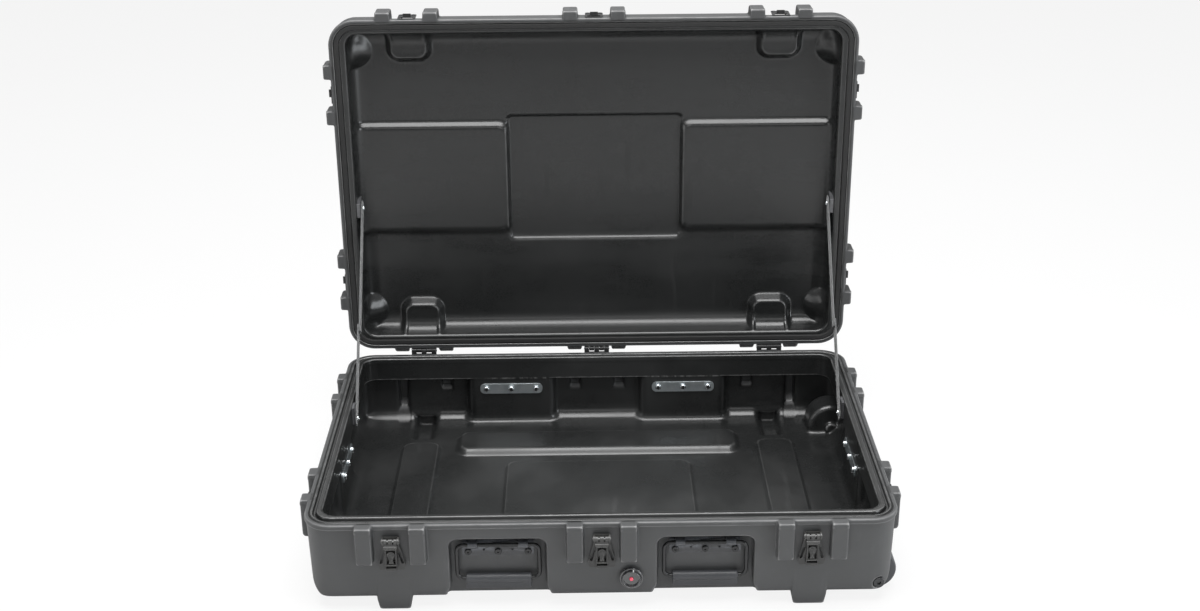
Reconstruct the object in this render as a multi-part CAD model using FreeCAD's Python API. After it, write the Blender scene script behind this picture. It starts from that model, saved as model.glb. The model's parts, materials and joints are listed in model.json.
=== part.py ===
import FreeCAD, Part
import math
import os

# Wheeled utility equipment case, roto-moulded, lid standing open at 90 degrees.
# Millimetres. X runs along the long side, +Y towards the hinges, +Z up.
# The origin is the centre of the base shell's flat underside.
# Lid pieces are built closed, then turned open. Latches and handles are built
# facing -Y with their wall at y = 0, then turned and moved to their sites.

vec = FreeCAD.Vector
X_AXIS = (1, 0, 0)
Y_AXIS = (0, 1, 0)
MINUS_X = (-1, 0, 0)
MINUS_Y = (0, -1, 0)
SIDES = (-1, 1)

# ---------------------------------------------------------------- driving dimensions
HALF_W = 435.5          # half width over the rim flange (X)
HALF_D = 294.0          # half depth over the rim flange (Y)
CORNER_R = 44.0         # plan corner radius of the rim flange
STEP = 1.5              # the walls sit this far inside the flange
WALL = 5.0              # moulded wall thickness
RIM_Z = 130.0           # base rim plane above the underside
FLANGE_H = 12.0         # height of the proud flange band
FLANGE_W = 27.0         # rim width from the outer edge to the opening
SKIRT_Z = 38.0          # reach of the inner rim bands from the rim plane
LIP_H = 1.9             # raised lip on the base rim
FOOT_H = 17.0           # moulded feet below the underside
END_R = 28.0            # bottom edge radius at the left and right ends
SIDE_R = 12.0           # bottom edge radius at the front and back
LID_H = 55.0            # lid height above the rim plane
LID_GAP = 0.3           # running gap between lid rim and base rim
RIB_X = 39.0            # rib centre from its latch or hinge centre
RIB_W = 26.0            # rib width
RIB_OUT = 12.0          # rib projection beyond the flange
RIB_DROP = 63.0         # rib length below the rim plane
RIB_SKID = 100.0        # length of the two outermost base ribs on the hinge side
LID_RIB = 38.0          # rib length on the lid
STATION_X = 306.0       # outer latch and hinge stations on the long sides
STATION_Y = 168.0       # latch stations on the short sides
HINGE_Y = HALF_D + 5.0
HINGE_Z = RIM_Z + 4.0
HINGE_SCREW_X = 12.0    # hinge screws either side of the hinge centre
BASE_LEAF_SCREW_Z = RIM_Z - 22
LID_LEAF_SCREW_Z = RIM_Z + 26
LATCH_Z = RIM_Z - 24.5  # latch pivot height
LATCH_OUT = 7.0         # latch pivot distance from the wall
RIVET_ZS = (LATCH_Z - 16.0, LATCH_Z - 38.0)
RIVET_HOLE_R = 2.25
KEEPER_SCREW_X = 10.0   # keeper screws either side of the latch centre
KEEPER_SCREW_Z = RIM_Z + 28.5
KEEPER_HOLE_R = 1.6
HANDLE_X = 152.0        # handle centres on the long sides
HANDLE_HALF = 71.0      # half width of a handle recess
RECESS = 20.0           # recess depth from the wall face
RECESS_TOP = RIM_Z - 29.0
RECESS_R = 14.0         # upper corner radius of a recess
BOLT_Z = RIM_Z - 57.5   # row of handle bolts
BOLT_STEP = 44.0
BOLT_XS = (-BOLT_STEP, 0.0, BOLT_STEP)
BOLT_HOLE_R = 3.1
BAIL_R = 3.0
WHEEL_X, WHEEL_Y, WHEEL_Z = 409.5, 235.0, 16.0
WHEEL_R = 32.0
WELL_R = 36.0
WELL_HALF = 26.0        # half length of a wheel well over its end walls
AXLE_R = 5.0
AXLE_SINK = 10.5        # depth of the axle head's seat below the side wall plane
VALVE_X, VALVE_Z = 43.0, 35.0
STRAP_W, STRAP_T = 25.0, 2.0
STRAP_LOWER = 152.6     # lower anchor to the fold
STRAP_BASE_Y, STRAP_BASE_Z = 96.0, RIM_Z - 26.0
STRAP_LID_Y, STRAP_LID_Z = 37.0, RIM_Z + 20.0   # with the lid closed
STRAP_HOLE_R = 2.6

# half sizes and corner radii in plan
WALL_X, WALL_Y, WALL_R = HALF_W - STEP, HALF_D - STEP, CORNER_R - STEP
OPEN_X, OPEN_Y, OPEN_R = HALF_W - FLANGE_W, HALF_D - FLANGE_W, CORNER_R - FLANGE_W
LID_OPEN_Y = OPEN_Y + 3.5       # the lid opening is a little deeper than the base opening
INNER_X, INNER_Y, INNER_R = WALL_X - WALL, WALL_Y - WALL, WALL_R - WALL
FLOOR_X, FLOOR_Y = WALL_X - RECESS, WALL_Y - RECESS     # floors of the handle recesses

# outward-facing sites: name, turn about Z, x and y of the face
LATCHES = [
    ("front_left", 0, -STATION_X, -WALL_Y),
    ("front_centre", 0, 0.0, -WALL_Y),
    ("front_right", 0, STATION_X, -WALL_Y),
    ("left_front", -90, -WALL_X, -STATION_Y),
    ("left_rear", -90, -WALL_X, STATION_Y),
    ("right_front", 90, WALL_X, -STATION_Y),
    ("right_rear", 90, WALL_X, STATION_Y),
]
HANDLES = [
    ("front_left", 0, -HANDLE_X, -FLOOR_Y),
    ("front_right", 0, HANDLE_X, -FLOOR_Y),
    ("back_left", 180, -HANDLE_X, FLOOR_Y),
    ("back_right", 180, HANDLE_X, FLOOR_Y),
    ("left_end", -90, -FLOOR_X, 0.0),
    ("right_end", 90, FLOOR_X, 0.0),
]
HINGES = [-STATION_X, 0.0, STATION_X]

os.makedirs("parts", exist_ok=True)


# ---------------------------------------------------------------- helpers
def slab(half_x, half_y, radius, z0, z1):
    """Upright slab with a rounded-rectangle plan."""
    corners = [(half_x - radius, half_y - radius, 0), (-(half_x - radius), half_y - radius, 90),
               (-(half_x - radius), -(half_y - radius), 180),
               (half_x - radius, -(half_y - radius), 270)]
    arcs = []
    for x, y, start in corners:
        angles = [math.radians(start + turn) for turn in (0, 45, 90)]
        arcs.append([vec(x + radius * math.cos(a), y + radius * math.sin(a), z0) for a in angles])
    edges = []
    for i, arc in enumerate(arcs):
        edges.append(Part.Arc(*arc).toShape())
        edges.append(Part.makeLine(arc[2], arcs[(i + 1) % 4][0]))
    return Part.Face(Part.Wire(edges)).extrude(vec(0, 0, z1 - z0))


def ring(half_x, half_y, radius, width, z0, z1):
    """Rounded-rectangle ring, its width measured inwards."""
    hole = slab(half_x - width, half_y - width, radius - width, z0 - 1, z1 + 1)
    return slab(half_x, half_y, radius, z0, z1).cut(hole)


def rim_ring(inset, width, z0, z1):
    """Ring that starts inset from the outer edge of the rim flange."""
    return ring(HALF_W - inset, HALF_D - inset, CORNER_R - inset, width, z0, z1)


def box(x0, x1, y0, y1, z0, z1):
    return Part.makeBox(abs(x1 - x0), abs(y1 - y0), abs(z1 - z0),
                        vec(min(x0, x1), min(y0, y1), min(z0, z1)))


def poly_prism(points, axis, low, high):
    """Prism from 2-D points: axis 'x' takes (y, z), 'y' takes (x, z), 'z' takes (x, y)."""
    place = {"x": lambda p: vec(low, p[0], p[1]),
             "y": lambda p: vec(p[0], low, p[1]),
             "z": lambda p: vec(p[0], p[1], low)}[axis]
    corners = [place(p) for p in points]
    face = Part.Face(Part.makePolygon(corners + [corners[0]]))
    direction = {"x": vec(1, 0, 0), "y": vec(0, 1, 0), "z": vec(0, 0, 1)}[axis]
    return face.extrude(direction * (high - low))


def round_plate(width, height, radius, y0, y1, z):
    """Round-cornered plate standing across Y, centred at x = 0 and height z."""
    plate = slab(width / 2.0, height / 2.0, radius, 0, y1 - y0)
    plate.rotate(vec(0, 0, 0), vec(1, 0, 0), 90)      # (x, y, z) -> (x, -z, y)
    plate.translate(vec(0, y1, z))
    return plate


def cyl(radius, start, direction, length):
    return Part.makeCylinder(radius, length, vec(*start), vec(*direction))


def hexagon(across_flats, start, direction, length):
    """Hexagonal prism along direction from start."""
    radius = across_flats / math.sqrt(3.0)
    angles = [math.radians(60 * i) for i in range(6)]
    points = [vec(radius * math.cos(a), radius * math.sin(a), 0) for a in angles]
    prism = Part.Face(Part.makePolygon(points + [points[0]])).extrude(vec(0, 0, length))
    turn = FreeCAD.Rotation(vec(0, 0, 1), vec(*direction))
    prism.Placement = FreeCAD.Placement(vec(*start), turn)
    return prism


def polyline(*points):
    """Line edges joining the points in turn."""
    return [Part.makeLine(a, b) for a, b in zip(points, points[1:])]


def quarter(start, corner, end):
    """Quarter-circle edge that rounds off a square corner."""
    centre = start + end - corner
    middle = corner + (centre - corner) * (1 - math.sqrt(0.5))
    return Part.Arc(start, middle, end).toShape()


def bound_at(bound, value):
    """Edge picker: one limit of the bounding box, such as "YMax", lies at value."""
    return lambda e: abs(getattr(e.BoundBox, bound) - value) < 1e-6


def flat_at(axis, value):
    """Edge picker: the whole edge lies in the plane axis = value."""
    low, high = bound_at(axis + "Min", value), bound_at(axis + "Max", value)
    return lambda e: low(e) and high(e)


def across_x(edge):
    """Edge picker: the edge lies in a plane across X."""
    return abs(edge.BoundBox.XLength) < 1e-6


def fillet(shape, radius, pick):
    """Rounds the edges for which pick(edge) holds."""
    edges = [e for e in shape.Edges if pick(e)]
    if not edges:
        return shape
    # guards against a fillet the kernel can't build: a chamfer stands in for it
    try:
        rounded = shape.makeFillet(radius, edges)
        if rounded.isValid() and rounded.Volume > 0:
            return rounded
    except Exception:
        pass
    # guards against a failed chamfer too: the shape then stays sharp
    try:
        bevelled = shape.makeChamfer(radius * 0.8, edges)
        if bevelled.isValid() and bevelled.Volume > 0:
            return bevelled
    except Exception:
        pass
    return shape


def placed(shape, turn, x, y, z=0.0):
    """Copy of a shape built facing -Y, turned about Z and moved."""
    copy = shape.copy()
    copy.rotate(vec(0, 0, 0), vec(0, 0, 1), turn)
    copy.translate(vec(x, y, z))
    return copy


def at_sites(shapes, sites):
    """Copies of all the shapes at every latch or handle site."""
    return [placed(shape, turn, x, y) for _, turn, x, y in sites for shape in shapes]


def on_side(shape, side, axis):
    """The shape itself for side 1, or its mirror image across the origin for side -1."""
    return shape if side > 0 else shape.mirror(vec(0, 0, 0), vec(*axis))


def opened(shape):
    """Turns a closed-lid shape to the open rest position."""
    copy = shape.copy()
    copy.rotate(vec(0, HINGE_Y, HINGE_Z), vec(1, 0, 0), -90)
    return copy


def save(name, shape):
    shape.exportStep("parts/%s.step" % name)


def save_group(name, shapes):
    """Writes the solids of all the shapes to one file."""
    found = [solid for shape in shapes for solid in shape.Solids]
    save(name, Part.Compound(found) if len(found) > 1 else found[0])


# ---------------------------------------------------------------- bumper ribs
RIB_SITES = [(turn, x, y, False) for _, turn, x, y in LATCHES]
RIB_SITES += [(180, x, WALL_Y, True) for x in HINGES]   # last column: on the hinge side


def rib(length, up, bevel):
    """Rib on a wall at y = 0, its rim end at z = 0; bevel slopes the rim end."""
    way = 1.0 if up else -1.0
    out = RIB_OUT + STEP
    slope = out if bevel else 0.0
    profile = [(8, 0), (0, 0), (-out, way * slope), (-out, way * (length - 9)),
               (-out + 9, way * length), (8, way * length)]
    shape = poly_prism(profile, "x", -RIB_W / 2, RIB_W / 2)
    flank = 4.0     # width of the chamfers on the two flanks
    for side in SIDES:
        edge_x = side * RIB_W / 2
        chamfer = [(edge_x, -out), (side * (RIB_W / 2 - flank), -out),
                   (edge_x, -out + 1.6 * flank)]
        shape = shape.cut(poly_prism(chamfer, "z", -200, 200))
    return shape


def rib_set(rim_z, length, up):
    """A rib either side of every latch and hinge."""
    ribs = []
    for turn, x, y, hinge_side in RIB_SITES:
        for side in SIDES:
            outermost = abs(-x + side * RIB_X) > STATION_X
            skid = hinge_side and not up and outermost
            shape = rib(RIB_SKID if skid else length, up, hinge_side)
            shape.translate(vec(side * RIB_X, 0, 0))
            ribs.append(placed(shape, turn, x, y, rim_z))
    return ribs


# ---------------------------------------------------------------- base shell
FOOT_Y = 199.0                  # inner face of a foot
FOOT_OUT = WALL_Y - 0.5         # outer face of a foot, just inside the wall face
CHANNEL_X, CHANNEL_Y0, CHANNEL_Y1 = 230, 152, 207   # channel pressed into the underside
CHANNEL_DEPTH = 7.0


def edge_cutter(point, wall, side, floor, radius, sweep):
    """Tool that rounds one bottom edge; point(across, z) places its profile."""
    over = 9        # reach beyond the slab
    outside = point(wall + side * over, floor + radius)
    start = point(wall, floor + radius)
    end = point(wall - side * radius, floor)
    edges = polyline(outside, start) + [quarter(start, point(wall, floor), end)]
    edges += polyline(end, point(wall - side * radius, floor - over),
                      point(wall + side * over, floor - over), outside)
    return Part.Face(Part.Wire(edges)).extrude(sweep)


def tub(half_x, half_y, radius, z0, z1, end_r):
    """Slab with bottom edges rounded by end_r along the ends and SIDE_R along the sides."""
    cuts = []
    for side in SIDES:
        cuts.append(edge_cutter(lambda x, z: vec(x, -half_y - 9, z), side * half_x, side,
                                z0, end_r, vec(0, 2 * half_y + 18, 0)))
        cuts.append(edge_cutter(lambda y, z: vec(-half_x - 9, y, z), side * half_y, side,
                                z0, SIDE_R, vec(2 * half_x + 18, 0, 0)))
    return slab(half_x, half_y, radius, z0, z1).cut(cuts)


def recess(grow, depth, top, bottom):
    """Handle recess volume facing -Y, recess floor at y = 0, grown sideways by grow."""
    half = HANDLE_HALF + grow
    radius = RECESS_R + grow
    left_foot, right_foot = vec(-half, 0, bottom), vec(half, 0, bottom)
    left, left_top = vec(-half, 0, top - radius), vec(-half + radius, 0, top)
    right, right_top = vec(half, 0, top - radius), vec(half - radius, 0, top)
    edges = polyline(left_foot, left) + [quarter(left, vec(-half, 0, top), left_top)]
    edges += polyline(left_top, right_top) + [quarter(right_top, vec(half, 0, top), right)]
    edges += polyline(right, right_foot, left_foot)
    return Part.Face(Part.Wire(edges)).extrude(vec(0, -depth, 0))


def foot(side_x, side_y):
    """A foot and the tool that hollows it from inside the case."""
    middle = side_x * STATION_X

    def profile(top):
        return [(middle - 26, top), (middle - 26, -2), (middle - 22.5, -FOOT_H),
                (middle + 22.5, -FOOT_H), (middle + 26, -2), (middle + 26, top)]

    shape = poly_prism(profile(WALL - 0.5), "y", FOOT_Y, FOOT_OUT)
    shape = shape.fuse(poly_prism(profile(20.0), "y", FOOT_OUT - 4, FOOT_OUT))
    hollow = box(middle - 18.5, middle + 18.5, FOOT_Y + 5, INNER_Y, -FOOT_H + WALL, 20)
    return on_side(shape, side_y, Y_AXIS), on_side(hollow, side_y, Y_AXIS)


def wheel_well(side, limit):
    """Well wall with its blind axle boss and sleeve, then the well, bore and seat tools."""
    y0 = WHEEL_Y - WELL_HALF
    wall = cyl(WELL_R + WALL, (WHEEL_X, y0, WHEEL_Z), Y_AXIS, 2 * WELL_HALF)
    boss = cyl(10, (WHEEL_X, 201, WHEEL_Z), Y_AXIS, 10)
    sleeve = cyl(10.9, (WHEEL_X, 258, WHEEL_Z), Y_AXIS, 34)
    wall = wall.fuse([boss, sleeve]).common(limit)
    well = cyl(WELL_R, (WHEEL_X, y0 + WALL, WHEEL_Z), Y_AXIS, 2 * (WELL_HALF - WALL))
    bore = cyl(AXLE_R + 0.1, (WHEEL_X, 205, WHEEL_Z), Y_AXIS, 120)
    seat = cyl(9.3, (WHEEL_X, WALL_Y - AXLE_SINK, WHEEL_Z), Y_AXIS, 40)
    return [on_side(shape, side, Y_AXIS) for shape in (wall, well, bore, seat)]


def base_shell():
    flange_z = RIM_Z - FLANGE_H
    body = tub(WALL_X, WALL_Y, WALL_R, 0.0, flange_z + 0.01, END_R)
    body = body.fuse(slab(HALF_W, HALF_D, CORNER_R, flange_z, RIM_Z))
    cavity = tub(INNER_X, INNER_Y, INNER_R, WALL, flange_z + 3.0, END_R - WALL)
    body = body.cut([cavity, slab(OPEN_X, OPEN_Y, OPEN_R, flange_z - 1, RIM_Z + 1)])

    feet = [foot(side_x, side_y) for side_x in SIDES for side_y in SIDES]
    adds = [rim_ring(FLANGE_W - WALL, WALL, RIM_Z - SKIRT_Z, RIM_Z - 5),    # inner rim band
            rim_ring(18.5, FLANGE_W - 18.5, RIM_Z - 1, RIM_Z + LIP_H)]      # raised lip
    adds += rib_set(RIM_Z, RIB_DROP, False)
    adds += [shape for shape, _ in feet]

    # inner bulges behind the handle recesses
    bulge = recess(WALL, RECESS, RECESS_TOP + WALL, 0.0)
    bulge.translate(vec(0, WALL, 0))
    adds += at_sites([bulge], HANDLES)

    limit = tub(WALL_X - 0.5, WALL_Y - 0.5, WALL_R, 0.0, RIM_Z, END_R)
    wells, bores = [], []
    for side in SIDES:
        wall, well, bore, seat = wheel_well(side, limit)
        adds.append(wall)
        wells.append(well)
        bores += [bore, seat]

    # raised floor features: channel roof, middle panel, two side panels
    adds += [box(-CHANNEL_X - WALL, CHANNEL_X + WALL, CHANNEL_Y0 - WALL, CHANNEL_Y1 + WALL,
                 WALL - 1, CHANNEL_DEPTH + WALL),
             box(-152, 152, -262, 109, WALL - 1, 7.0)]
    for side in SIDES:
        adds.append(box(side * 277, side * 334, -190, 178, WALL - 1, 8.0))
    body = body.fuse(adds)

    cuts = [box(-CHANNEL_X, CHANNEL_X, CHANNEL_Y0, CHANNEL_Y1, -1, CHANNEL_DEPTH)]
    cuts += [hollow for _, hollow in feet] + wells + bores
    cuts.append(rim_ring(12.2, 5.0, RIM_Z - 3.0, RIM_Z + 1))     # groove in the rim top
    handle_tools = [recess(0.0, 60, RECESS_TOP, -1.0)]
    handle_tools += [cyl(BOLT_HOLE_R, (x, 20, BOLT_Z), MINUS_Y, 40) for x in BOLT_XS]
    cuts += at_sites(handle_tools, HANDLES)
    cuts += at_sites([cyl(RIVET_HOLE_R, (0, 12, z), MINUS_Y, 14) for z in RIVET_ZS], LATCHES)
    for x in HINGES:
        for side in SIDES:
            start = (x + side * HINGE_SCREW_X, WALL_Y + 3, BASE_LEAF_SCREW_Z)
            cuts.append(cyl(2.1, start, MINUS_Y, 12))
    for side in SIDES:
        start = (side * (OPEN_X - 3), STRAP_BASE_Y, STRAP_BASE_Z)
        cuts.append(cyl(STRAP_HOLE_R, start, (side, 0, 0), 12))
    cuts.append(cyl(9.1, (VALVE_X, -WALL_Y - 5, VALVE_Z), Y_AXIS, 20))
    return body.cut(cuts).removeSplitter()


save_group("base_shell", [base_shell()])

# ---------------------------------------------------------------- lid shell and gasket
LID_RIM_Z = RIM_Z + LID_GAP
LID_BAND_Z = RIM_Z + FLANGE_H       # top of the lid's flange band
LID_TOP = RIM_Z + LID_H
LID_FIELD = LID_TOP - 3.0           # outer top around the raised middle
LID_CEILING = LID_FIELD - WALL
PANEL_DEPTH = 4                     # side panels sunk into the lid top
PANEL_X0, PANEL_X1, PANEL_Y0, PANEL_Y1 = 159, 401, -96, 78
POCKET_DEPTH = 10                   # stacking pockets for another case's feet
POCKET_X0, POCKET_X1, POCKET_Y = 279, 337, 220


def lid_shell():
    lid = slab(HALF_W, HALF_D, CORNER_R, LID_RIM_Z, LID_BAND_Z)
    upper = slab(WALL_X, WALL_Y, WALL_R, LID_BAND_Z - 0.01, LID_FIELD)
    upper = fillet(upper, 16.0, flat_at("Z", LID_FIELD))
    lid = lid.fuse([upper, slab(150, 115, 12, LID_FIELD - 1, LID_TOP)])
    cavity = slab(INNER_X, INNER_Y, INNER_R, LID_BAND_Z - 3.0, LID_CEILING)
    cavity = fillet(cavity, 11.0, flat_at("Z", LID_CEILING))
    lid = lid.cut([cavity, slab(OPEN_X, LID_OPEN_Y, OPEN_R, LID_RIM_Z - 1, LID_BAND_Z),
                   slab(146, 111, 10, LID_CEILING - 1, LID_TOP - WALL)])

    adds = [ring(OPEN_X + WALL, LID_OPEN_Y + WALL, OPEN_R + WALL, WALL,
                 RIM_Z + 7, RIM_Z + SKIRT_Z)]
    adds += rib_set(LID_RIM_Z, LID_RIB, True)
    # clearance for the base lip, then the gasket groove
    cuts = [rim_ring(17.4, FLANGE_W - 16.9, LID_RIM_Z - 1, RIM_Z + 3.2),
            rim_ring(8.0, 9.0, LID_RIM_Z - 1, RIM_Z + 5.2)]
    for side in SIDES:
        adds.append(box(side * (PANEL_X0 - WALL), side * (PANEL_X1 + WALL), PANEL_Y0 - WALL,
                        PANEL_Y1 + WALL, LID_CEILING - PANEL_DEPTH, LID_FIELD - 2))
        cuts.append(box(side * PANEL_X0, side * PANEL_X1, PANEL_Y0, PANEL_Y1,
                        LID_FIELD - PANEL_DEPTH, LID_FIELD + 5))
        for end in SIDES:
            adds.append(box(side * (POCKET_X0 - WALL), side * (POCKET_X1 + WALL),
                            end * (POCKET_Y - WALL), end * (INNER_Y + 1),
                            LID_CEILING - POCKET_DEPTH, LID_FIELD - 2))
            cuts.append(box(side * POCKET_X0, side * POCKET_X1,
                            end * POCKET_Y, end * (INNER_Y - 2),
                            LID_FIELD - POCKET_DEPTH, LID_FIELD + 5))
    lid = lid.fuse(adds)

    # screw holes for hinges, straps and keepers
    for side in SIDES:
        for x in HINGES:
            start = (x + side * HINGE_SCREW_X, WALL_Y + 3, LID_LEAF_SCREW_Z)
            cuts.append(cyl(2.1, start, MINUS_Y, 12))
        start = (side * (OPEN_X - 3), STRAP_LID_Y, STRAP_LID_Z)
        cuts.append(cyl(STRAP_HOLE_R, start, (side, 0, 0), 12))
    cuts += at_sites([cyl(KEEPER_HOLE_R, (side * KEEPER_SCREW_X, 7, KEEPER_SCREW_Z), MINUS_Y, 9)
                      for side in SIDES], LATCHES)
    return lid.cut(cuts).removeSplitter()


def lid_gasket():
    """Gasket in the lid groove, rounded on the side that faces the base rim."""
    face_z = RIM_Z + 0.6
    gasket = rim_ring(8.2, 8.6, face_z, RIM_Z + 5.1)
    return fillet(gasket, 1.8, bound_at("ZMax", face_z))


save_group("lid_shell", [opened(lid_shell())])
save("lid_gasket", opened(lid_gasket()))

# ---------------------------------------------------------------- latches
EAR_IN, EAR_OUT = 10.2, 12.6    # pivot ears either side of a latch arm
ARM_LENGTH = 48.0               # pivot to the free end of a latch arm
CATCH_DROP = 41.25              # pivot to the catch slot
TRIGGER_Z = LATCH_Z - 21.0
TRUNNION_Y = -7.6


def latch_base():
    """Riveted wall plate with pivot ears and two slanted slots."""
    z = LATCH_Z
    outline = [(-12.6, z + 5), (12.6, z + 5), (12.6, z - 10), (20.0, z - 42), (18.2, z - 50),
               (-18.2, z - 50), (-20.0, z - 42), (-12.6, z - 10)]
    plate = poly_prism(outline, "y", -2.5, 0.0)
    plate = fillet(plate, 2.5, lambda e: across_x(e) and abs(e.BoundBox.ZLength) < 1e-6)
    ears = []
    for side in SIDES:
        near, far = side * EAR_IN, side * EAR_OUT
        eye = cyl(4.6, (min(near, far), -LATCH_OUT, z), X_AXIS, EAR_OUT - EAR_IN)
        ears.append(box(near, far, -LATCH_OUT, -1, z - 4.6, z + 4.6).fuse(eye))
    plate = plate.fuse(ears)
    holes = [cyl(2.0, (-20, -LATCH_OUT, z), X_AXIS, 40)]
    for side in SIDES:
        ends = [cyl(2.0, (0, -10, end_z), Y_AXIS, 15) for end_z in (8, -8)]
        slot = box(-2.0, 2.0, -10, 5, -8, 8).fuse(ends)
        slot.rotate(vec(0, 0, 0), vec(0, 1, 0), -side * 14)
        slot.translate(vec(side * 13.8, 0, z - 30))
        holes.append(slot)
    for rivet_z in RIVET_ZS:
        holes.append(cyl(RIVET_HOLE_R, (0, -10, rivet_z), Y_AXIS, 20))
        holes.append(Part.makeCone(RIVET_HOLE_R, 3.6, 1.35, vec(0, -1.15, rivet_z),
                                   vec(0, -1, 0)))
    return plate.cut(holes).removeSplitter()


def latch_rivet(z):
    """Countersunk rivet through the plate and wall, with a rounded tail inside."""
    shank = cyl(2.2, (0, -2.45, z), Y_AXIS, 2.45 + WALL + 0.5)
    head = Part.makeCone(2.2, 3.5, 1.3, vec(0, -1.15, z), vec(0, -1, 0))
    tail = cyl(4.4, (0, WALL + 0.05, z), Y_AXIS, 1.8)
    tail = fillet(tail, 1.0, bound_at("YMin", WALL + 1.85))
    return shank.fuse([head, tail]).removeSplitter()


def latch_arm():
    """Arm hanging from the pivot, as it does with the latch undone."""
    z = LATCH_Z
    end_z = z - ARM_LENGTH
    catch_z = z - CATCH_DROP
    back, front = -4.6, -10.6
    barrel = cyl(4.0, (-9.8, -LATCH_OUT, z), X_AXIS, 19.6)
    outline = [(-9.6, z), (9.6, z), (9.6, z - 9), (9.0, z - 14), (8.8, end_z + 2.5),
               (7.0, end_z), (-7.0, end_z), (-8.8, end_z + 2.5), (-9.0, z - 14), (-9.6, z - 9)]
    blade = fillet(poly_prism(outline, "y", front, back), 1.2, flat_at("Y", front))
    arm = barrel.fuse(blade)
    # rolled second bar under the barrel
    arm = arm.fuse(cyl(2.4, (-9.7, -10.2, z - 8.0), X_AXIS, 19.4))
    cuts = [cyl(2.05, (-20, -LATCH_OUT, z), X_AXIS, 40)]
    # gaps between the knuckles, open to the front
    for side in SIDES:
        cuts.append(box(side * 2.9, side * 5.1, -20, -LATCH_OUT + 0.6, z - 2.8, z + 9))
    # window that holds the trigger, and a shallow dish round it
    cuts.append(box(-6.4, 6.4, -20, 5, z - 36.6, z - 13.4))
    cuts.append(box(-7.6, 7.6, -20, -9.4, z - 37.4, z - 12.6))
    # trunnion holes
    cuts.append(cyl(1.25, (-8.2, TRUNNION_Y, TRIGGER_Z), X_AXIS, 16.4))
    # catch slot, with the finger lip under it
    cuts.append(box(-7.6, 7.6, -20, 5, catch_z - 1.9, catch_z + 2.1))
    arm = arm.cut(cuts)
    lip = cyl(1.5, (-7.2, -9.3, end_z + 1.9), X_AXIS, 14.4)
    return arm.fuse(lip).removeSplitter()


def latch_trigger():
    """Disc with a grooved tail, a button and side trunnions."""
    z = TRIGGER_Z
    back, front = -5.4, -10.2
    disc = cyl(5.6, (0, front, z), Y_AXIS, back - front)
    outline = [(-4.6, z - 3), (4.6, z - 3), (2.6, z - 9), (3.4, z - 15.0),
               (-3.4, z - 15.0), (-2.6, z - 9)]
    tail = poly_prism(outline, "y", front + 0.6, back)
    groove = box(-0.7, 0.7, -20, -9.0, z - 15.2, z - 7.5)
    button = cyl(3.0, (0, front - 0.7, z), Y_AXIS, 2.0)
    button = fillet(button, 0.6, bound_at("YMax", front - 0.7))
    trunnions = cyl(1.2, (-7.9, TRUNNION_Y, z), X_AXIS, 15.8)
    return disc.fuse([tail, button, trunnions]).cut(groove).removeSplitter()


def latch_keeper():
    """Lid plate with a catch tooth."""
    plate = round_plate(29, 30, 2.0, -STEP - 1.4, -STEP - 0.05, RIM_Z + 18.5)
    catch_z = LATCH_Z + CATCH_DROP
    tooth = poly_prism([(-STEP - 1.0, catch_z + 1.4), (-STEP - 6.6, catch_z + 0.8),
                        (-STEP - 6.6, catch_z - 0.8), (-STEP - 1.0, catch_z - 1.4)],
                       "x", -6.5, 6.5)
    window = box(-10.5, 10.5, -9, 2, RIM_Z + 6.0, RIM_Z + 14.2)
    holes = [cyl(KEEPER_HOLE_R, (side * KEEPER_SCREW_X, -9, KEEPER_SCREW_Z), Y_AXIS, 12)
             for side in SIDES]
    return plate.fuse(tooth).cut([window] + holes).removeSplitter()


def keeper_screw(side):
    x, z = side * KEEPER_SCREW_X, KEEPER_SCREW_Z
    front = -STEP - 2.4
    head = fillet(cyl(3.0, (x, front, z), Y_AXIS, 1.0), 0.6, bound_at("YMax", front))
    shank = cyl(1.55, (x, -STEP - 1.6, z), Y_AXIS, 1.6 + STEP + WALL + 0.9)
    slot = box(x - 1.6, x + 1.6, -9, -STEP - 1.9, z - 0.35, z + 0.35)
    return head.fuse(shank).cut(slot).removeSplitter()


latch_pin = cyl(1.95, (-13.3, -LATCH_OUT, LATCH_Z), X_AXIS, 26.6)
arm_shape, trigger_shape = latch_arm(), latch_trigger()
for name, turn, x, y in LATCHES:
    save("latch_arm_" + name, placed(arm_shape, turn, x, y))
    save("latch_trigger_" + name, placed(trigger_shape, turn, x, y))
save_group("latch_base_plates", at_sites([latch_base()], LATCHES))
save_group("latch_pivot_pins", at_sites([latch_pin], LATCHES))
save_group("latch_rivets", at_sites([latch_rivet(z) for z in RIVET_ZS], LATCHES))
save_group("latch_keepers", [opened(k) for k in at_sites([latch_keeper()], LATCHES)])
keeper_screws = at_sites([keeper_screw(side) for side in SIDES], LATCHES)
save_group("keeper_screws", [opened(screw) for screw in keeper_screws])

# ---------------------------------------------------------------- bail handles
BAIL_Y, BAIL_Z = -8.0, BOLT_Z + 14.0    # axis the bail turns on
KNUCKLE_X = 37.0
BAIL_HALF = 60.5
BAIL_CORNER = 10.0
GRIP_Z = BAIL_Z - 56.0                  # lower bar of the bail, inside the grip


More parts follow.
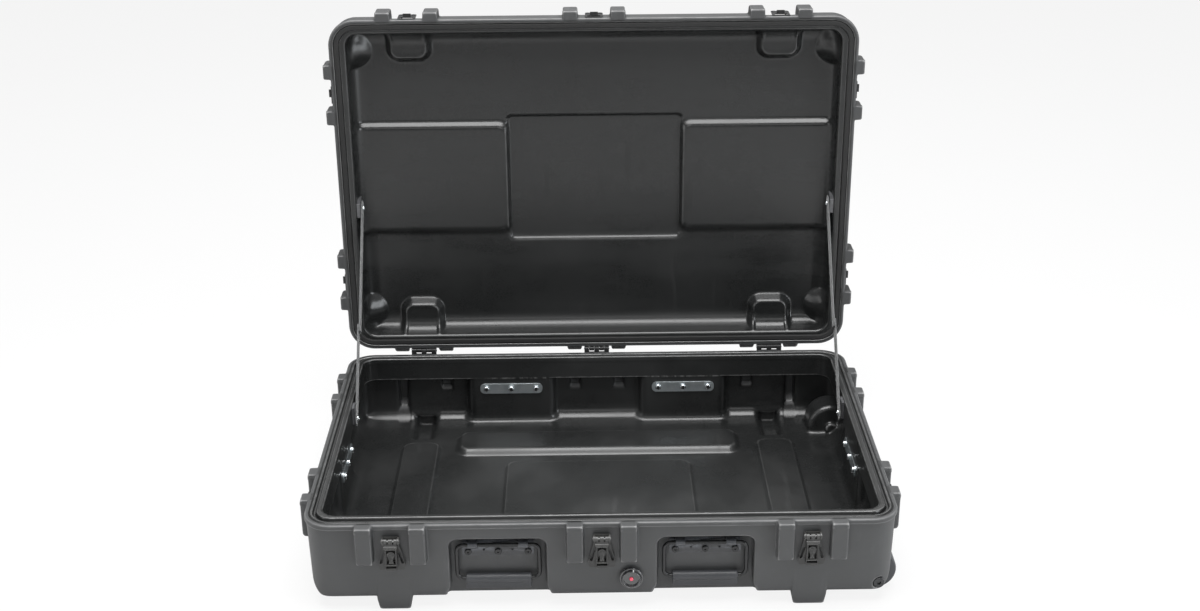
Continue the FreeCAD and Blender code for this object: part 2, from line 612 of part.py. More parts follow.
def mount_plate():
    plate = round_plate(105, 25.5, 2.5, -2.4, 0.0, BOLT_Z + 6.25)
    adds = []
    for side in SIDES:
        x0 = side * KNUCKLE_X - 7
        adds.append(cyl(5.4, (x0, BAIL_Y, BAIL_Z), X_AXIS, 14))
        adds.append(box(x0, x0 + 14, BAIL_Y, -1, BAIL_Z + 1.2, BAIL_Z + 5.4))
    # raised pad midway between the knuckles
    adds.append(round_plate(16, 8, 2.0, -3.6, -2.0, BOLT_Z + 12.5))
    plate = plate.fuse(adds)
    cuts = [cyl(BAIL_R + 0.06, (-80, BAIL_Y, BAIL_Z), X_AXIS, 160)]
    cuts += [cyl(BOLT_HOLE_R, (x, -9, BOLT_Z), Y_AXIS, 12) for x in BOLT_XS]
    cuts += [cyl(1.6, (side * 21.0, -9, BOLT_Z + 3), Y_AXIS, 12) for side in SIDES]
    return plate.cut(cuts).removeSplitter()


def bail():
    """Closed wire loop, swept as its right half and mirrored."""
    def point(x, z):
        return vec(x, BAIL_Y, z)

    inset = BAIL_HALF - BAIL_CORNER
    top, upper = point(inset, BAIL_Z), point(BAIL_HALF, BAIL_Z - BAIL_CORNER)
    lower, bottom = point(BAIL_HALF, GRIP_Z + BAIL_CORNER), point(inset, GRIP_Z)
    edges = polyline(point(0, BAIL_Z), top) + [quarter(top, point(BAIL_HALF, BAIL_Z), upper)]
    edges += polyline(upper, lower) + [quarter(lower, point(BAIL_HALF, GRIP_Z), bottom)]
    edges += polyline(bottom, point(0, GRIP_Z))
    section = Part.Wire([Part.makeCircle(BAIL_R, point(0, BAIL_Z), vec(1, 0, 0))])
    half = Part.Wire(edges).makePipeShell([section], True, True)
    return half.fuse(half.mirror(vec(0, 0, 0), vec(1, 0, 0))).removeSplitter()


def grip():
    """Tube round the bail's lower bar with a tapered wing hanging below."""
    y, z = BAIL_Y, GRIP_Z
    tube = fillet(cyl(7.3, (-48, y, z), X_AXIS, 96), 1.6, across_x)
    outline = [(y - 4.6, z - 4), (y + 4.6, z - 4), (y + 2.6, z - 16.0), (y - 2.6, z - 16.0)]
    wing = poly_prism(outline, "x", -48, 48)
    wing = fillet(wing, 1.2, lambda e: e.BoundBox.ZMax < z - 15.9
                  or (across_x(e) and e.BoundBox.ZMin < z - 15))
    bore = cyl(BAIL_R + 0.02, (-60, y, z), X_AXIS, 120)
    return tube.fuse(wing).cut(bore).removeSplitter()


def handle_bolt(x):
    front = -5.4
    head = fillet(cyl(5.2, (x, front, BOLT_Z), Y_AXIS, 2.9), 1.8, bound_at("YMax", front))
    shank = cyl(3.0, (x, -2.6, BOLT_Z), Y_AXIS, 2.6 + WALL + 2.6 + 4.5)
    socket = hexagon(3.2, (x, front - 0.2, BOLT_Z), Y_AXIS, 1.7)
    return head.fuse(shank).cut(socket).removeSplitter()


def backing_nut(x):
    y = WALL + 2.15
    nut = fillet(cyl(5.4, (x, y, BOLT_Z), Y_AXIS, 4.2), 2.2, bound_at("YMin", y + 4.2))
    return nut.cut(cyl(3.02, (x, y - 1, BOLT_Z), Y_AXIS, 8))


def backing_plate():
    plate = round_plate(110, 19, 8.0, WALL + 0.05, WALL + 2.1, BOLT_Z)
    return plate.cut([cyl(BOLT_HOLE_R, (x, 0, BOLT_Z), Y_AXIS, 12) for x in BOLT_XS])


bail_shape, grip_shape = bail(), grip()
for name, turn, x, y in HANDLES:
    save("handle_bail_" + name, placed(bail_shape, turn, x, y))
    save("handle_grip_" + name, placed(grip_shape, turn, x, y))
save_group("handle_mount_plates", at_sites([mount_plate()], HANDLES))
save_group("handle_bolts", at_sites([handle_bolt(x) for x in BOLT_XS], HANDLES))
save_group("handle_backing_plates", at_sites([backing_plate()], HANDLES))
save_group("handle_backing_nuts", at_sites([backing_nut(x) for x in BOLT_XS], HANDLES))

# ---------------------------------------------------------------- hinges
KNUCKLE_R, PIN_R = 4.2, 2.0
LEAF_W, LEAF_T = 44.0, 2.4
LEAF_Y = HALF_D + 0.1           # face of the leaves against the flange
KNUCKLE_EDGES = [LEAF_W * (i / 5 - 0.5) for i in range(6)]
KNUCKLE_GAP = 0.15


def leaf(lid_side):
    """Hinge leaf; the base leaf has knuckles 0, 2 and 4, the lid leaf 1 and 3."""
    front = LEAF_Y + LEAF_T
    if lid_side:
        plate = round_plate(LEAF_W, 29, 2.0, LEAF_Y, front, RIM_Z + 23.5)
        screw_z, web_z0, web_z1 = LID_LEAF_SCREW_Z, HINGE_Z, RIM_Z + 12
    else:
        plate = round_plate(LEAF_W, 33, 2.0, LEAF_Y, front, RIM_Z - 17.5)
        screw_z, web_z0, web_z1 = BASE_LEAF_SCREW_Z, RIM_Z - 4, HINGE_Z
    adds = []
    cuts = [cyl(PIN_R + 0.05, (-40, HINGE_Y, HINGE_Z), X_AXIS, 80)]
    cuts += [cyl(2.1, (side * HINGE_SCREW_X, LEAF_Y - 5, screw_z), Y_AXIS, 12)
             for side in SIDES]
    for i in range(5):
        x0, x1 = KNUCKLE_EDGES[i], KNUCKLE_EDGES[i + 1]
        if (i % 2 == 1) == lid_side:
            x0 += KNUCKLE_GAP
            x1 -= KNUCKLE_GAP
            adds.append(cyl(KNUCKLE_R, (x0, HINGE_Y, HINGE_Z), X_AXIS, x1 - x0))
            adds.append(box(x0, x1, LEAF_Y, front, web_z0, web_z1))
        else:
            # room for the other leaf's knuckle, open past the leaf's ends
            x0 -= KNUCKLE_GAP + (2 if i == 0 else 0)
            x1 += KNUCKLE_GAP + (2 if i == 4 else 0)
            cuts.append(cyl(KNUCKLE_R + 0.4, (x0, HINGE_Y, HINGE_Z), X_AXIS, x1 - x0))
    return plate.fuse(adds).cut(cuts).removeSplitter()


def hinge_screw(side, z):
    x = side * HINGE_SCREW_X
    head = cyl(3.6, (x, LEAF_Y + 2.45, z), Y_AXIS, 1.8)
    head = fillet(head, 1.1, bound_at("YMin", LEAF_Y + 4.25))
    shank = cyl(2.0, (x, LEAF_Y + 2.6, z), MINUS_Y, 2.6 + 0.1 + STEP + WALL + 1.0)
    socket = hexagon(2.6, (x, LEAF_Y + 3.2, z), Y_AXIS, 3)
    return head.fuse(shank).cut(socket).removeSplitter()


def at_hinges(shapes):
    return [placed(shape, 0, x, 0) for x in HINGES for shape in shapes]


hinge_pin = cyl(PIN_R, (-22.6, HINGE_Y, HINGE_Z), X_AXIS, 45.2)
base_screws = [hinge_screw(side, BASE_LEAF_SCREW_Z) for side in SIDES]
lid_screws = [hinge_screw(side, LID_LEAF_SCREW_Z) for side in SIDES]
save_group("hinge_base_leaves", at_hinges([leaf(False)]))
save_group("hinge_lid_leaves", [opened(shape) for shape in at_hinges([leaf(True)])])
save_group("hinge_pins", at_hinges([hinge_pin]))
save_group("hinge_base_screws", at_hinges(base_screws))
save_group("hinge_lid_screws", [opened(screw) for screw in at_hinges(lid_screws)])

# ---------------------------------------------------------------- wheels
# tyre section: radius, y from the wheel's middle
TYRE_PROFILE = [(20, -16), (30, -16), (WHEEL_R, -13.5), (WHEEL_R, 13.5), (30, 16), (20, 16)]


def wheel_tyre():
    points = [vec(radius, y, 0) for radius, y in TYRE_PROFILE]
    face = Part.Face(Part.makePolygon(points + [points[0]]))
    return face.revolve(vec(0, 0, 0), vec(0, 1, 0), 360)


def wheel_hub():
    """Hub dished on both faces, with six spokes and a long centre boss."""
    hub = cyl(19.98, (0, -15, 0), Y_AXIS, 30)
    hub = hub.cut([cyl(16, (0, y, 0), Y_AXIS, 15) for y in (-20, 5)])
    spokes = []
    for i in range(6):
        spoke = box(-1.5, 1.5, -14, 14, 9, 17)
        spoke.rotate(vec(0, 0, 0), vec(0, 1, 0), 60 * i)
        spokes.append(spoke)
    hub = hub.fuse(spokes + [cyl(10.0, (0, -20.5, 0), Y_AXIS, 41.0)])
    return hub.cut(cyl(AXLE_R + 0.06, (0, -40, 0), Y_AXIS, 80)).removeSplitter()


def wheel_axle(side):
    start_y = 206
    head_y = WALL_Y - AXLE_SINK + 0.05
    pin = cyl(AXLE_R, (WHEEL_X, start_y, WHEEL_Z), Y_AXIS, head_y + 0.05 - start_y)
    head = cyl(8.4, (WHEEL_X, head_y, WHEEL_Z), Y_AXIS, 4.4)
    head = fillet(head, 1.4, bound_at("YMin", head_y + 4.4))
    socket = hexagon(6.0, (WHEEL_X, head_y + 1.95, WHEEL_Z), Y_AXIS, 6)
    return on_side(pin.fuse(head).cut(socket), side, Y_AXIS)


for side, name in ((-1, "front"), (1, "rear")):
    save("wheel_tyre_" + name, placed(wheel_tyre(), 0, WHEEL_X, side * WHEEL_Y, WHEEL_Z))
    save("wheel_hub_" + name, placed(wheel_hub(), 0, WHEEL_X, side * WHEEL_Y, WHEEL_Z))
save_group("wheel_axles", [wheel_axle(side) for side in SIDES])

# ---------------------------------------------------------------- lid straps and brackets
STRAP_X = OPEN_X - 5.0          # lower strap's wall-side face
# lid anchor with the lid open
ANCHOR_Y = HINGE_Y + (STRAP_LID_Z - HINGE_Z)
ANCHOR_Z = HINGE_Z - (STRAP_LID_Y - HINGE_Y)
SPAN_Y, SPAN_Z = ANCHOR_Y - STRAP_BASE_Y, ANCHOR_Z - STRAP_BASE_Z
STRAP_SPAN = math.hypot(SPAN_Y, SPAN_Z)
STRAP_TILT = math.degrees(math.atan2(SPAN_Z, SPAN_Y))


def strap_half(side, lower):
    """Flat webbing half lying in a Y-Z plane, from its anchor to just past the fold."""
    length = (STRAP_LOWER if lower else STRAP_SPAN - STRAP_LOWER) + 6.0
    radius = STRAP_W / 2.0
    x0 = STRAP_X - STRAP_T if lower else STRAP_X - 2 * STRAP_T - 0.3
    half = box(x0, x0 + STRAP_T, 0, length, -radius, radius)
    half = half.fuse(cyl(radius, (x0, 0, 0), X_AXIS, STRAP_T))
    half = half.cut(cyl(2.7, (x0 - 1, 0, 0), X_AXIS, STRAP_T + 2)).removeSplitter()
    half.rotate(vec(0, 0, 0), vec(1, 0, 0), STRAP_TILT if lower else STRAP_TILT + 180)
    if lower:
        half.translate(vec(0, STRAP_BASE_Y, STRAP_BASE_Z))
    else:
        half.translate(vec(0, ANCHOR_Y, ANCHOR_Z))
    return on_side(half, side, X_AXIS)


def strap_bracket(side, lid_side):
    if lid_side:
        x0, y, z = STRAP_X - STRAP_T - 0.15, STRAP_LID_Y, STRAP_LID_Z
        outline = [(y - 20, z + 9), (y - 14, z + 15), (y + 14, z + 15),
                   (y + 20, z + 9), (y + 12, z - 14), (y - 12, z - 14)]
    else:
        x0, y, z = STRAP_X + 0.15, STRAP_BASE_Y, STRAP_BASE_Z
        top = RIM_Z - 2
        outline = [(y - 13, z - 5), (y - 9, z - 9), (y + 9, z - 9),
                   (y + 13, z - 5), (y + 11, top), (y - 11, top)]
    bracket = poly_prism(outline, "x", x0, OPEN_X - 0.1)
    bracket = fillet(bracket, 1.2, bound_at("XMax", x0))
    bracket = bracket.cut(cyl(STRAP_HOLE_R, (x0 - 2, y, z), X_AXIS, 20))
    return on_side(bracket, side, X_AXIS)


def strap_screw(side, lid_side):
    if lid_side:
        x, y, z = STRAP_X - 2 * STRAP_T - 0.45, STRAP_LID_Y, STRAP_LID_Z
    else:
        x, y, z = STRAP_X - STRAP_T - 0.15, STRAP_BASE_Y, STRAP_BASE_Z
    head = fillet(cyl(5.0, (x, y, z), MINUS_X, 2.6), 1.7, bound_at("XMax", x - 2.6))
    shank = cyl(2.5, (x - 0.1, y, z), X_AXIS, OPEN_X + WALL + 2.0 - x)
    socket = hexagon(2.8, (x - 1.4, y, z), MINUS_X, 3)
    return on_side(head.fuse(shank).cut(socket).removeSplitter(), side, X_AXIS)


for side, name in ((-1, "left"), (1, "right")):
    save("strap_lower_" + name, strap_half(side, True))
    save("strap_upper_" + name, strap_half(side, False))
save_group("strap_base_brackets", [strap_bracket(side, False) for side in SIDES])
save_group("strap_lid_brackets", [opened(strap_bracket(side, True)) for side in SIDES])
save_group("strap_base_screws", [strap_screw(side, False) for side in SIDES])
save_group("strap_lid_screws", [opened(strap_screw(side, True)) for side in SIDES])

# ---------------------------------------------------------------- pressure equalisation valve
FRONT_Y = -WALL_Y               # front wall face


def valve_disc(radius, y0, y1):
    """Disc on the valve axis, y0 and y1 measured inwards from the front wall face."""
    return cyl(radius, (VALVE_X, FRONT_Y + y0, VALVE_Z), Y_AXIS, y1 - y0)


def valve_body():
    body = fillet(valve_disc(17.5, -3.2, -0.05), 1.3, bound_at("YMax", FRONT_Y - 3.2))
    body = body.fuse(Part.makeCone(15.6, 13.2, 3.6, vec(VALVE_X, FRONT_Y - 3.0, VALVE_Z),
                                   vec(0, -1, 0)))
    body = body.fuse(valve_disc(9.0, -3.0, WALL + 9.0))
    ring_groove = valve_disc(13.6, -1.5, 0.5).cut(valve_disc(11.0, -2, 1))
    body = body.cut([valve_disc(11.8, -8.0, -3.4), valve_disc(2.86, -8, 1.2),
                     valve_disc(2.6, 0, 30), ring_groove])
    return body.removeSplitter()


def valve_o_ring():
    """O-ring flattened between its groove and the wall."""
    torus = Part.makeTorus(12.3, 1.2, vec(VALVE_X, FRONT_Y - 1.25, VALVE_Z), vec(0, 1, 0))
    return torus.common(valve_disc(13.55, -1.45, -0.05))


def valve_lock_nut():
    nut = hexagon(27.0, (VALVE_X, FRONT_Y + WALL + 0.05, VALVE_Z), Y_AXIS, 5.0)
    return nut.cut(valve_disc(9.05, 0, 30))


def valve_button():
    return fillet(valve_disc(2.8, -5.6, -1.6), 0.8, bound_at("YMax", FRONT_Y - 5.6))


save("valve_body", valve_body())
save_group("valve_o_ring", [valve_o_ring()])
save("valve_lock_nut", valve_lock_nut())
save("valve_button", valve_button())
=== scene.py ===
"""A wheeled hard case with its lid open: moulded shells, lid straps, hardware, floor and lights.

X runs along the case with the wheels at the +X end, the front faces -Y, and Z is up. The shells
are built in millimetres and everything else is in metres. The lid is built closed, then turned
about the hinge line at the back so that it stands upright.
"""
import itertools
import json
import math
from types import SimpleNamespace

import bmesh
import bpy
import numpy as np
from mathutils import Matrix, Vector


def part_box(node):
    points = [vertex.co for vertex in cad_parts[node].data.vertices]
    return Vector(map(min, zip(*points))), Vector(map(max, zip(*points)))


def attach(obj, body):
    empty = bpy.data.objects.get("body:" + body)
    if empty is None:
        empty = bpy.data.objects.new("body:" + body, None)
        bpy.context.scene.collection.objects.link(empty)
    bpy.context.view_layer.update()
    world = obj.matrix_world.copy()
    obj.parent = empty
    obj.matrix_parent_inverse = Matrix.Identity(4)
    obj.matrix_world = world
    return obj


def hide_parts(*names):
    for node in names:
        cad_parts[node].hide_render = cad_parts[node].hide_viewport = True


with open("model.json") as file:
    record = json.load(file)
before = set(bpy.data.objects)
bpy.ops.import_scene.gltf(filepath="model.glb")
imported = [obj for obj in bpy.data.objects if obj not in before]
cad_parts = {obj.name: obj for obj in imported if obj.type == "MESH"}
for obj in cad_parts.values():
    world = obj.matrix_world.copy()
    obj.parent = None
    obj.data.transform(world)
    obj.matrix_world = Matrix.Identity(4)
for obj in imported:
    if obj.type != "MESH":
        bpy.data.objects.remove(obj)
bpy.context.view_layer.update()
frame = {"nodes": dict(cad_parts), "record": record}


COARSE = 1.0
NODES = frame["nodes"]
SIDES = (-1, 1)

# ---------------------------------------------------------------- shell sizes, mm
# Half length, half depth and corner radius of the flange, the walls and the opening
BAND = 1.5  # the flange stands this far out of the walls
FLANGE = 27.0
RIM_X, RIM_Y, RIM_R = 435.5, 294.0, 44.0
WALL_X, WALL_Y, WALL_R = RIM_X - BAND, RIM_Y - BAND, RIM_R - BAND
OPEN_X, OPEN_Y, OPEN_R = RIM_X - FLANGE, RIM_Y - FLANGE, 22.0
LID_OPEN_Y = OPEN_Y + 3.5
THICKNESS = 5.0
RIM_Z = 130.0
HINGE_Y, HINGE_Z = 299.0, 134.0
BASE_DRAFT = 3.0  # lean of the base walls over their height
LID_DRAFT = 0.03  # lean of the lid walls per mm of height

# Ribs stand in pairs, RIB_OFFSET each side of a station
STATION_X, STATION_Y, RIB_OFFSET = 306.0, 168.0, 39.0
RIB_HALF, RIB_PROUD, RIB_EDGE = 12.6, 13.3, 12.9
RIB_XS, RIB_YS = (-STATION_X, 0.0, STATION_X), (-STATION_Y, STATION_Y)
BASE_RIB_END, BACK_RIB_END, LID_RIB_END = 67.0, 26.0, 167.0
RECESS_XS, RECESS_YS = (-152.0, 152.0), (0.0,)
RECESS_HALF, RECESS_TOP, RECESS_DEPTH = 71.0, 101.0, 20.0
# Places on the walls: (axis the wall faces, side, centre along the wall)
RIB_STATIONS = ([("y", side, x) for x in RIB_XS for side in SIDES]
                + [("x", side, y) for y in RIB_YS for side in SIDES])
RECESSES = ([("y", side, x) for side in SIDES for x in RECESS_XS]
            + [("x", side, y) for side in SIDES for y in RECESS_YS])

WHEEL_X, WHEEL_Z = 409.5, 16.0
WELL_R, WELL_Y0, WELL_Y1 = 36.0, 214.0, 256.0

# Raised floor panels: height, x0, x1, y0, y1, corner radius, edge width
FLOOR_PADS = [
    (10.0, -239, 239, 145, 213, 16, 17.0),
    (4.6, -154, 154, -251, 111, 16, 9.0),
    (6.0, -336, -275, -198, 181, 18, 11.0),
    (6.0, 275, 336, -198, 181, 18, 11.0),
]

# Roundings and blends of the outside, and of the fuller form that the inside of the wall follows.
# The inner feet stay well within the outer ones, or their rounded edges would thin the floor.
OUTSIDE = SimpleNamespace(
    hollow=False, under_x_round=28.0, under_y_round=15.0, rib_blend=3.0,
    foot_half=26.0, foot_taper=0.2, foot_bottom=-17.0, foot_inner_y=198.5, foot_round=3.0,
    foot_blend=2.0, well_blend=4.0, recess_round=13.0, recess_back_round=5.0,
    recess_blend=3.6, lid_round=16.0)
INSIDE = SimpleNamespace(
    hollow=True, under_x_round=42.0, under_y_round=34.0, rib_blend=7.0,
    foot_half=19.5, foot_taper=0.5, foot_bottom=-11.0, foot_inner_y=205.5, foot_round=7.0,
    foot_blend=14.0, well_blend=8.0, recess_round=16.0, recess_back_round=9.0,
    recess_blend=11.0, lid_round=21.0)


# ---------------------------------------------------------------- distance fields, negative inside
def soft_max(first, second, blend):
    """The larger field, with the crease between the two rounded."""
    share = np.clip(0.5 + 0.5 * (first - second) / blend, 0.0, 1.0)
    return second + (first - second) * share + blend * share * (1.0 - share)


def soft_min(first, second, blend):
    return -soft_max(-first, -second, blend)


def round_and(first, second, radius):
    """Inside both fields, with the shared edge rounded."""
    first, second = first + radius, second + radius
    outside = np.hypot(np.maximum(first, 0.0), np.maximum(second, 0.0))
    return outside + np.minimum(np.maximum(first, second), 0.0) - radius


def rounded_rect(x, y, half_x, half_y, radius):
    return round_and(np.abs(x) - half_x, np.abs(y) - half_y, radius)


def step(value, width):
    """0 to 1 as value passes from -width/2 to width/2."""
    share = np.clip(value / width + 0.5, 0.0, 1.0)
    return share * share * (3 - 2 * share)


def pad(x, y, x0, x1, y0, y1, radius, edge_width):
    """1 inside a rounded rectangle, falling to 0 over a soft edge."""
    rect = rounded_rect(x - (x0 + x1) / 2, y - (y0 + y1) / 2, (x1 - x0) / 2, (y1 - y0) / 2, radius)
    return step(-rect, edge_width)


def add_shape(field, block, shape, blend):
    field[block] = soft_min(field[block], shape, blend)


def cut_shape(field, block, shape, blend):
    field[block] = soft_max(field[block], -shape, blend)


def span(side, near, far):
    """A (low, high) span on the given side of the centre."""
    return sorted((side * near, side * far))


# ---------------------------------------------------------------- sampling grid
ALL = (-1e4, 1e4)


class Grid:
    def __init__(self, *axes):
        self.axes = [np.asarray(lines, np.float32) for lines in axes]

    def part(self, x_span=ALL, y_span=ALL, z_span=ALL):
        """The slices of a block that covers the spans, and its x, y and z."""
        block = []
        for lines, (low, high) in zip(self.axes, (x_span, y_span, z_span)):
            start, end = np.searchsorted(lines, low), np.searchsorted(lines, high, side="right")
            block.append(slice(max(start - 1, 0), min(end + 1, len(lines))))
        x, y, z = [lines[cut] for lines, cut in zip(self.axes, block)]
        return tuple(block), x[:, None, None], y[None, :, None], z[None, None, :]

    def wall_part(self, axis, side, centre, half_width, out_span, z_span):
        """A block on a side wall: slices, place along the wall, distance out of its face, z."""
        face = WALL_Y if axis == "y" else WALL_X
        along = (centre - half_width, centre + half_width)
        across = span(side, face + out_span[0], face + out_span[1])
        if axis == "y":
            block, x, y, z = self.part(along, across, z_span)
            return block, x, side * y - face, z
        block, x, y, z = self.part(across, along, z_span)
        return block, y, side * x - face, z

    def steepness(self, height):
        """Dividing by this turns a height difference into a distance."""
        slope_x, slope_y = np.gradient(height[:, :, 0], *self.axes[:2])
        return np.sqrt(1.0 + slope_x * slope_x + slope_y * slope_y)[:, :, None]


def axis_points(runs):
    """Grid lines through runs of (start, end, spacing)."""
    lines = []
    for start, end, spacing in runs:
        count = max(1, int(round((end - start) / spacing)))
        lines.append(np.linspace(start, end, count, endpoint=False))
    lines.append([runs[-1][1]])
    return np.concatenate(lines)


def shell_axis(inner, outer, spacing, stations, recesses):
    """Grid lines from -outer to outer, finer past inner and about each rib or recess edge."""
    near_wall, near_edge, reach = 1.15 * COARSE, 0.95 * COARSE, 4.5
    edges = [c + t * RIB_OFFSET + u * RIB_EDGE for c in stations for t in SIDES for u in SIDES]
    edges += [c + t * RECESS_HALF for c in recesses for t in SIDES]
    runs, reached = [(-outer, -inner, near_wall)], -inner
    for edge in sorted(edges):
        start, end = max(edge - reach, reached), edge + reach
        if start - reached > spacing:
            runs.append((reached, start, spacing))
        else:
            start = reached
        runs.append((start, end, near_edge))
        reached = end
    runs += [(reached, inner, spacing), (inner, outer, near_wall)]
    return axis_points(runs)


def shell_grid(z_runs):
    spacing = 2.3 * COARSE
    return Grid(shell_axis(398, 450, spacing, RIB_XS, RECESS_XS),
                shell_axis(255, 309, spacing * 1.1, RIB_YS, RECESS_YS),
                axis_points([(start, end, gap * COARSE) for start, end, gap in z_runs]))


# ---------------------------------------------------------------- fields to meshes
CELL_CORNERS = list(itertools.product((0, 1), repeat=3))


def surface(grid, field, outline):
    """Surface nets: vertices and outward quads where field is zero, and outline at each vertex."""
    solid = field < 0
    shape = tuple(n - 1 for n in field.shape)
    filled = np.zeros(shape, np.int8)
    for i, j, k in CELL_CORNERS:
        filled += solid[i:i + shape[0], j:j + shape[1], k:k + shape[2]]
    active = (filled > 0) & (filled < 8)
    cells = np.nonzero(active)
    count = len(cells[0])
    index = np.full(shape, -1, np.int32)
    index[active] = np.arange(count, dtype=np.int32)

    def at_corner(values, corner):
        return values[tuple(cells[n] + corner[n] for n in range(3))].astype(float)

    # each vertex is the mean of the crossings on its cell's edges
    values = {corner: at_corner(field, corner) for corner in CELL_CORNERS}
    total, crossings = np.zeros((count, 3)), np.zeros(count)
    for near in CELL_CORNERS:
        for axis in range(3):
            if near[axis]:
                continue
            far = tuple(near[n] + (1 if n == axis else 0) for n in range(3))
            start, end = values[near], values[far]
            cut = (start < 0) != (end < 0)
            share = start[cut] / (start[cut] - end[cut])
            for n in range(3):
                lines, cell = grid.axes[n], cells[n][cut]
                origin = lines[cell + near[n]]
                total[cut, n] += origin + share * (lines[cell + far[n]] - origin)
            crossings[cut] += 1

    # each crossed grid edge gives a quad through the four cells about it
    quads = []
    for axis in range(3):
        lower, upper = [slice(None)] * 3, [slice(None)] * 3
        lower[axis], upper[axis] = slice(0, -1), slice(1, None)
        crossed = solid[tuple(lower)] != solid[tuple(upper)]
        others = [n for n in range(3) if n != axis]
        for n in others:
            for end in (0, -1):
                border = [slice(None)] * 3
                border[n] = end
                crossed[tuple(border)] = False
        edges = np.nonzero(crossed)
        ring = []
        for shift in ((-1, -1), (0, -1), (0, 0), (-1, 0)):
            around = list(edges)
            for n, by in zip(others, shift):
                around[n] = edges[n] + by
            ring.append(index[tuple(around)])
        ring = np.stack(ring, 1)
        # the ring runs the other way round about y
        starts_solid = solid[tuple(lower)][edges]
        backward = starts_solid if axis == 1 else ~starts_solid
        ring[backward] = ring[backward][:, ::-1]
        quads.append(ring)
    depth = sum(at_corner(outline, corner) for corner in CELL_CORNERS) / 8.0
    return total / crossings[:, None], np.concatenate(quads), depth


def make_mesh(name, verts, faces):
    """A smooth-shaded object from vertices in metres and faces of equal size."""
    mesh = bpy.data.meshes.new(name)
    verts = np.asarray(verts, np.float32)
    faces = np.asarray(faces, np.int32)
    size = faces.shape[1]
    mesh.vertices.add(len(verts))
    mesh.vertices.foreach_set("co", verts.ravel())
    mesh.loops.add(faces.size)
    mesh.loops.foreach_set("vertex_index", faces.ravel())
    mesh.polygons.add(len(faces))
    mesh.polygons.foreach_set("loop_start", np.arange(0, faces.size, size, dtype=np.int32))
    mesh.polygons.foreach_set("loop_total", np.full(len(faces), size, np.int32))
    mesh.update(calc_edges=True)
    mesh.validate()
    mesh.polygons.foreach_set("use_smooth", np.full(len(mesh.polygons), True))
    obj = bpy.data.objects.new(name, mesh)
    bpy.context.scene.collection.objects.link(obj)
    return obj


# ---------------------------------------------------------------- features of the shells
# Each block reaches past the shape that is worked out in it.
def add_ribs(grid, field, up, form):
    """Bumper ribs, down from the rim on the base or up from it on the lid."""
    way = 1.0 if up else -1.0
    for (axis, side, centre), pair_side in itertools.product(RIB_STATIONS, SIDES):
        rib = centre + pair_side * RIB_OFFSET
        end = LID_RIB_END if up else BASE_RIB_END
        if not up and axis == "y" and side > 0 and abs(rib) > 320:
            end = BACK_RIB_END  # the outermost ribs at the back run on down
        z_span = (RIM_Z - 10, end + 22) if up else (end - 22, RIM_Z + 10)
        block, along, out, z = grid.wall_part(axis, side, rib, 30, (-24, 17), z_span)
        width = np.abs(along - centre - pair_side * RIB_OFFSET) - RIB_HALF
        width = width + 0.06 * np.maximum(out, 0)
        past_end = way * (z - end)
        if form.hollow:
            # the hollow behind a rib runs out in a scooped end
            past_end = (past_end - 5.0 + 0.9 * (out + THICKNESS)) / 1.35
        shape = round_and(round_and(out - RIB_PROUD, past_end, 5.5), width, 2.4)
        if axis == "y" and side > 0:
            # bevelled towards the rim on the hinge side
            shape = soft_max(shape, (out - way * (z - RIM_Z)) / math.sqrt(2.0), 2.0)
        add_shape(field, block, shape, form.rib_blend)


def add_feet(grid, field, form):
    for side_x, side_y in itertools.product(SIDES, SIDES):
        centre = side_x * STATION_X
        block, x, y, z = grid.part((centre - 48, centre + 48), span(side_y, 178, 300), (-21, 40))
        half = form.foot_half + np.minimum(z, 0) * form.foot_taper
        shape = round_and(np.abs(x - centre) - half, form.foot_bottom - z, form.foot_round)
        face = WALL_Y - BASE_DRAFT + 0.023 * z - 2.2 * step(z - 22.0, 28.0)
        depth = np.maximum(form.foot_inner_y - side_y * y, side_y * y - face)
        shape = round_and(shape, depth, form.foot_round)
        if form.hollow:
            shape = np.maximum(shape, z - 14.0)
        add_shape(field, block, shape, form.foot_blend)


def about_axle(x, z, axle_z, radius):
    return np.hypot(x - WHEEL_X, z - axle_z) - radius


def cut_wheel_wells(grid, field, form):
    for side in SIDES:
        block, x, y, z = grid.part((360, 450), span(side, 196, 270), (-21, 66))
        width = np.maximum(WELL_Y0 - side * y, side * y - WELL_Y1)
        well = round_and(about_axle(x, z, WHEEL_Z, WELL_R), width, 4.0)
        cut_shape(field, block, well, form.well_blend)


def cut_handle_recesses(grid, field, form):
    """Handle recesses in the walls, open and flared at the bottom."""
    for axis, side, centre in RECESSES:
        block, along, out, z = grid.wall_part(axis, side, centre, 100, (-50, 17), (-21, 124))
        flare = 5.0 * step(14.0 - z, 18.0)
        width = np.abs(along - centre) - RECESS_HALF - flare
        shape = round_and(width, z - RECESS_TOP, form.recess_round)
        shape = round_and(shape, -RECESS_DEPTH - out, form.recess_back_round)
        cut_shape(field, block, shape, form.recess_blend)


def fit_axles(grid, outer, inner):
    """Bosses each side of a wheel well, and an axle hole in the outside of the wall."""
    x_span, z_span = (385, 435), (-5, 45)
    for side in SIDES:
        block, x, y, z = grid.part(x_span, span(side, 190, 232), z_span)
        boss = round_and(about_axle(x, z, 17.0, 10.0), 201.5 - side * y, 3.0)
        cut_shape(inner, block, boss, 4.0)
        block, x, y, z = grid.part(x_span, span(side, 255, 296), z_span)
        boss = round_and(about_axle(x, z, WHEEL_Z, 12.0), 255.0 - side * y, 2.0)
        cut_shape(inner, block, boss, 3.0)
        hole = np.maximum(about_axle(x, z, WHEEL_Z, 9.5), WALL_Y - 10.5 - side * y)
        cut_shape(outer, block, hole, 1.0)


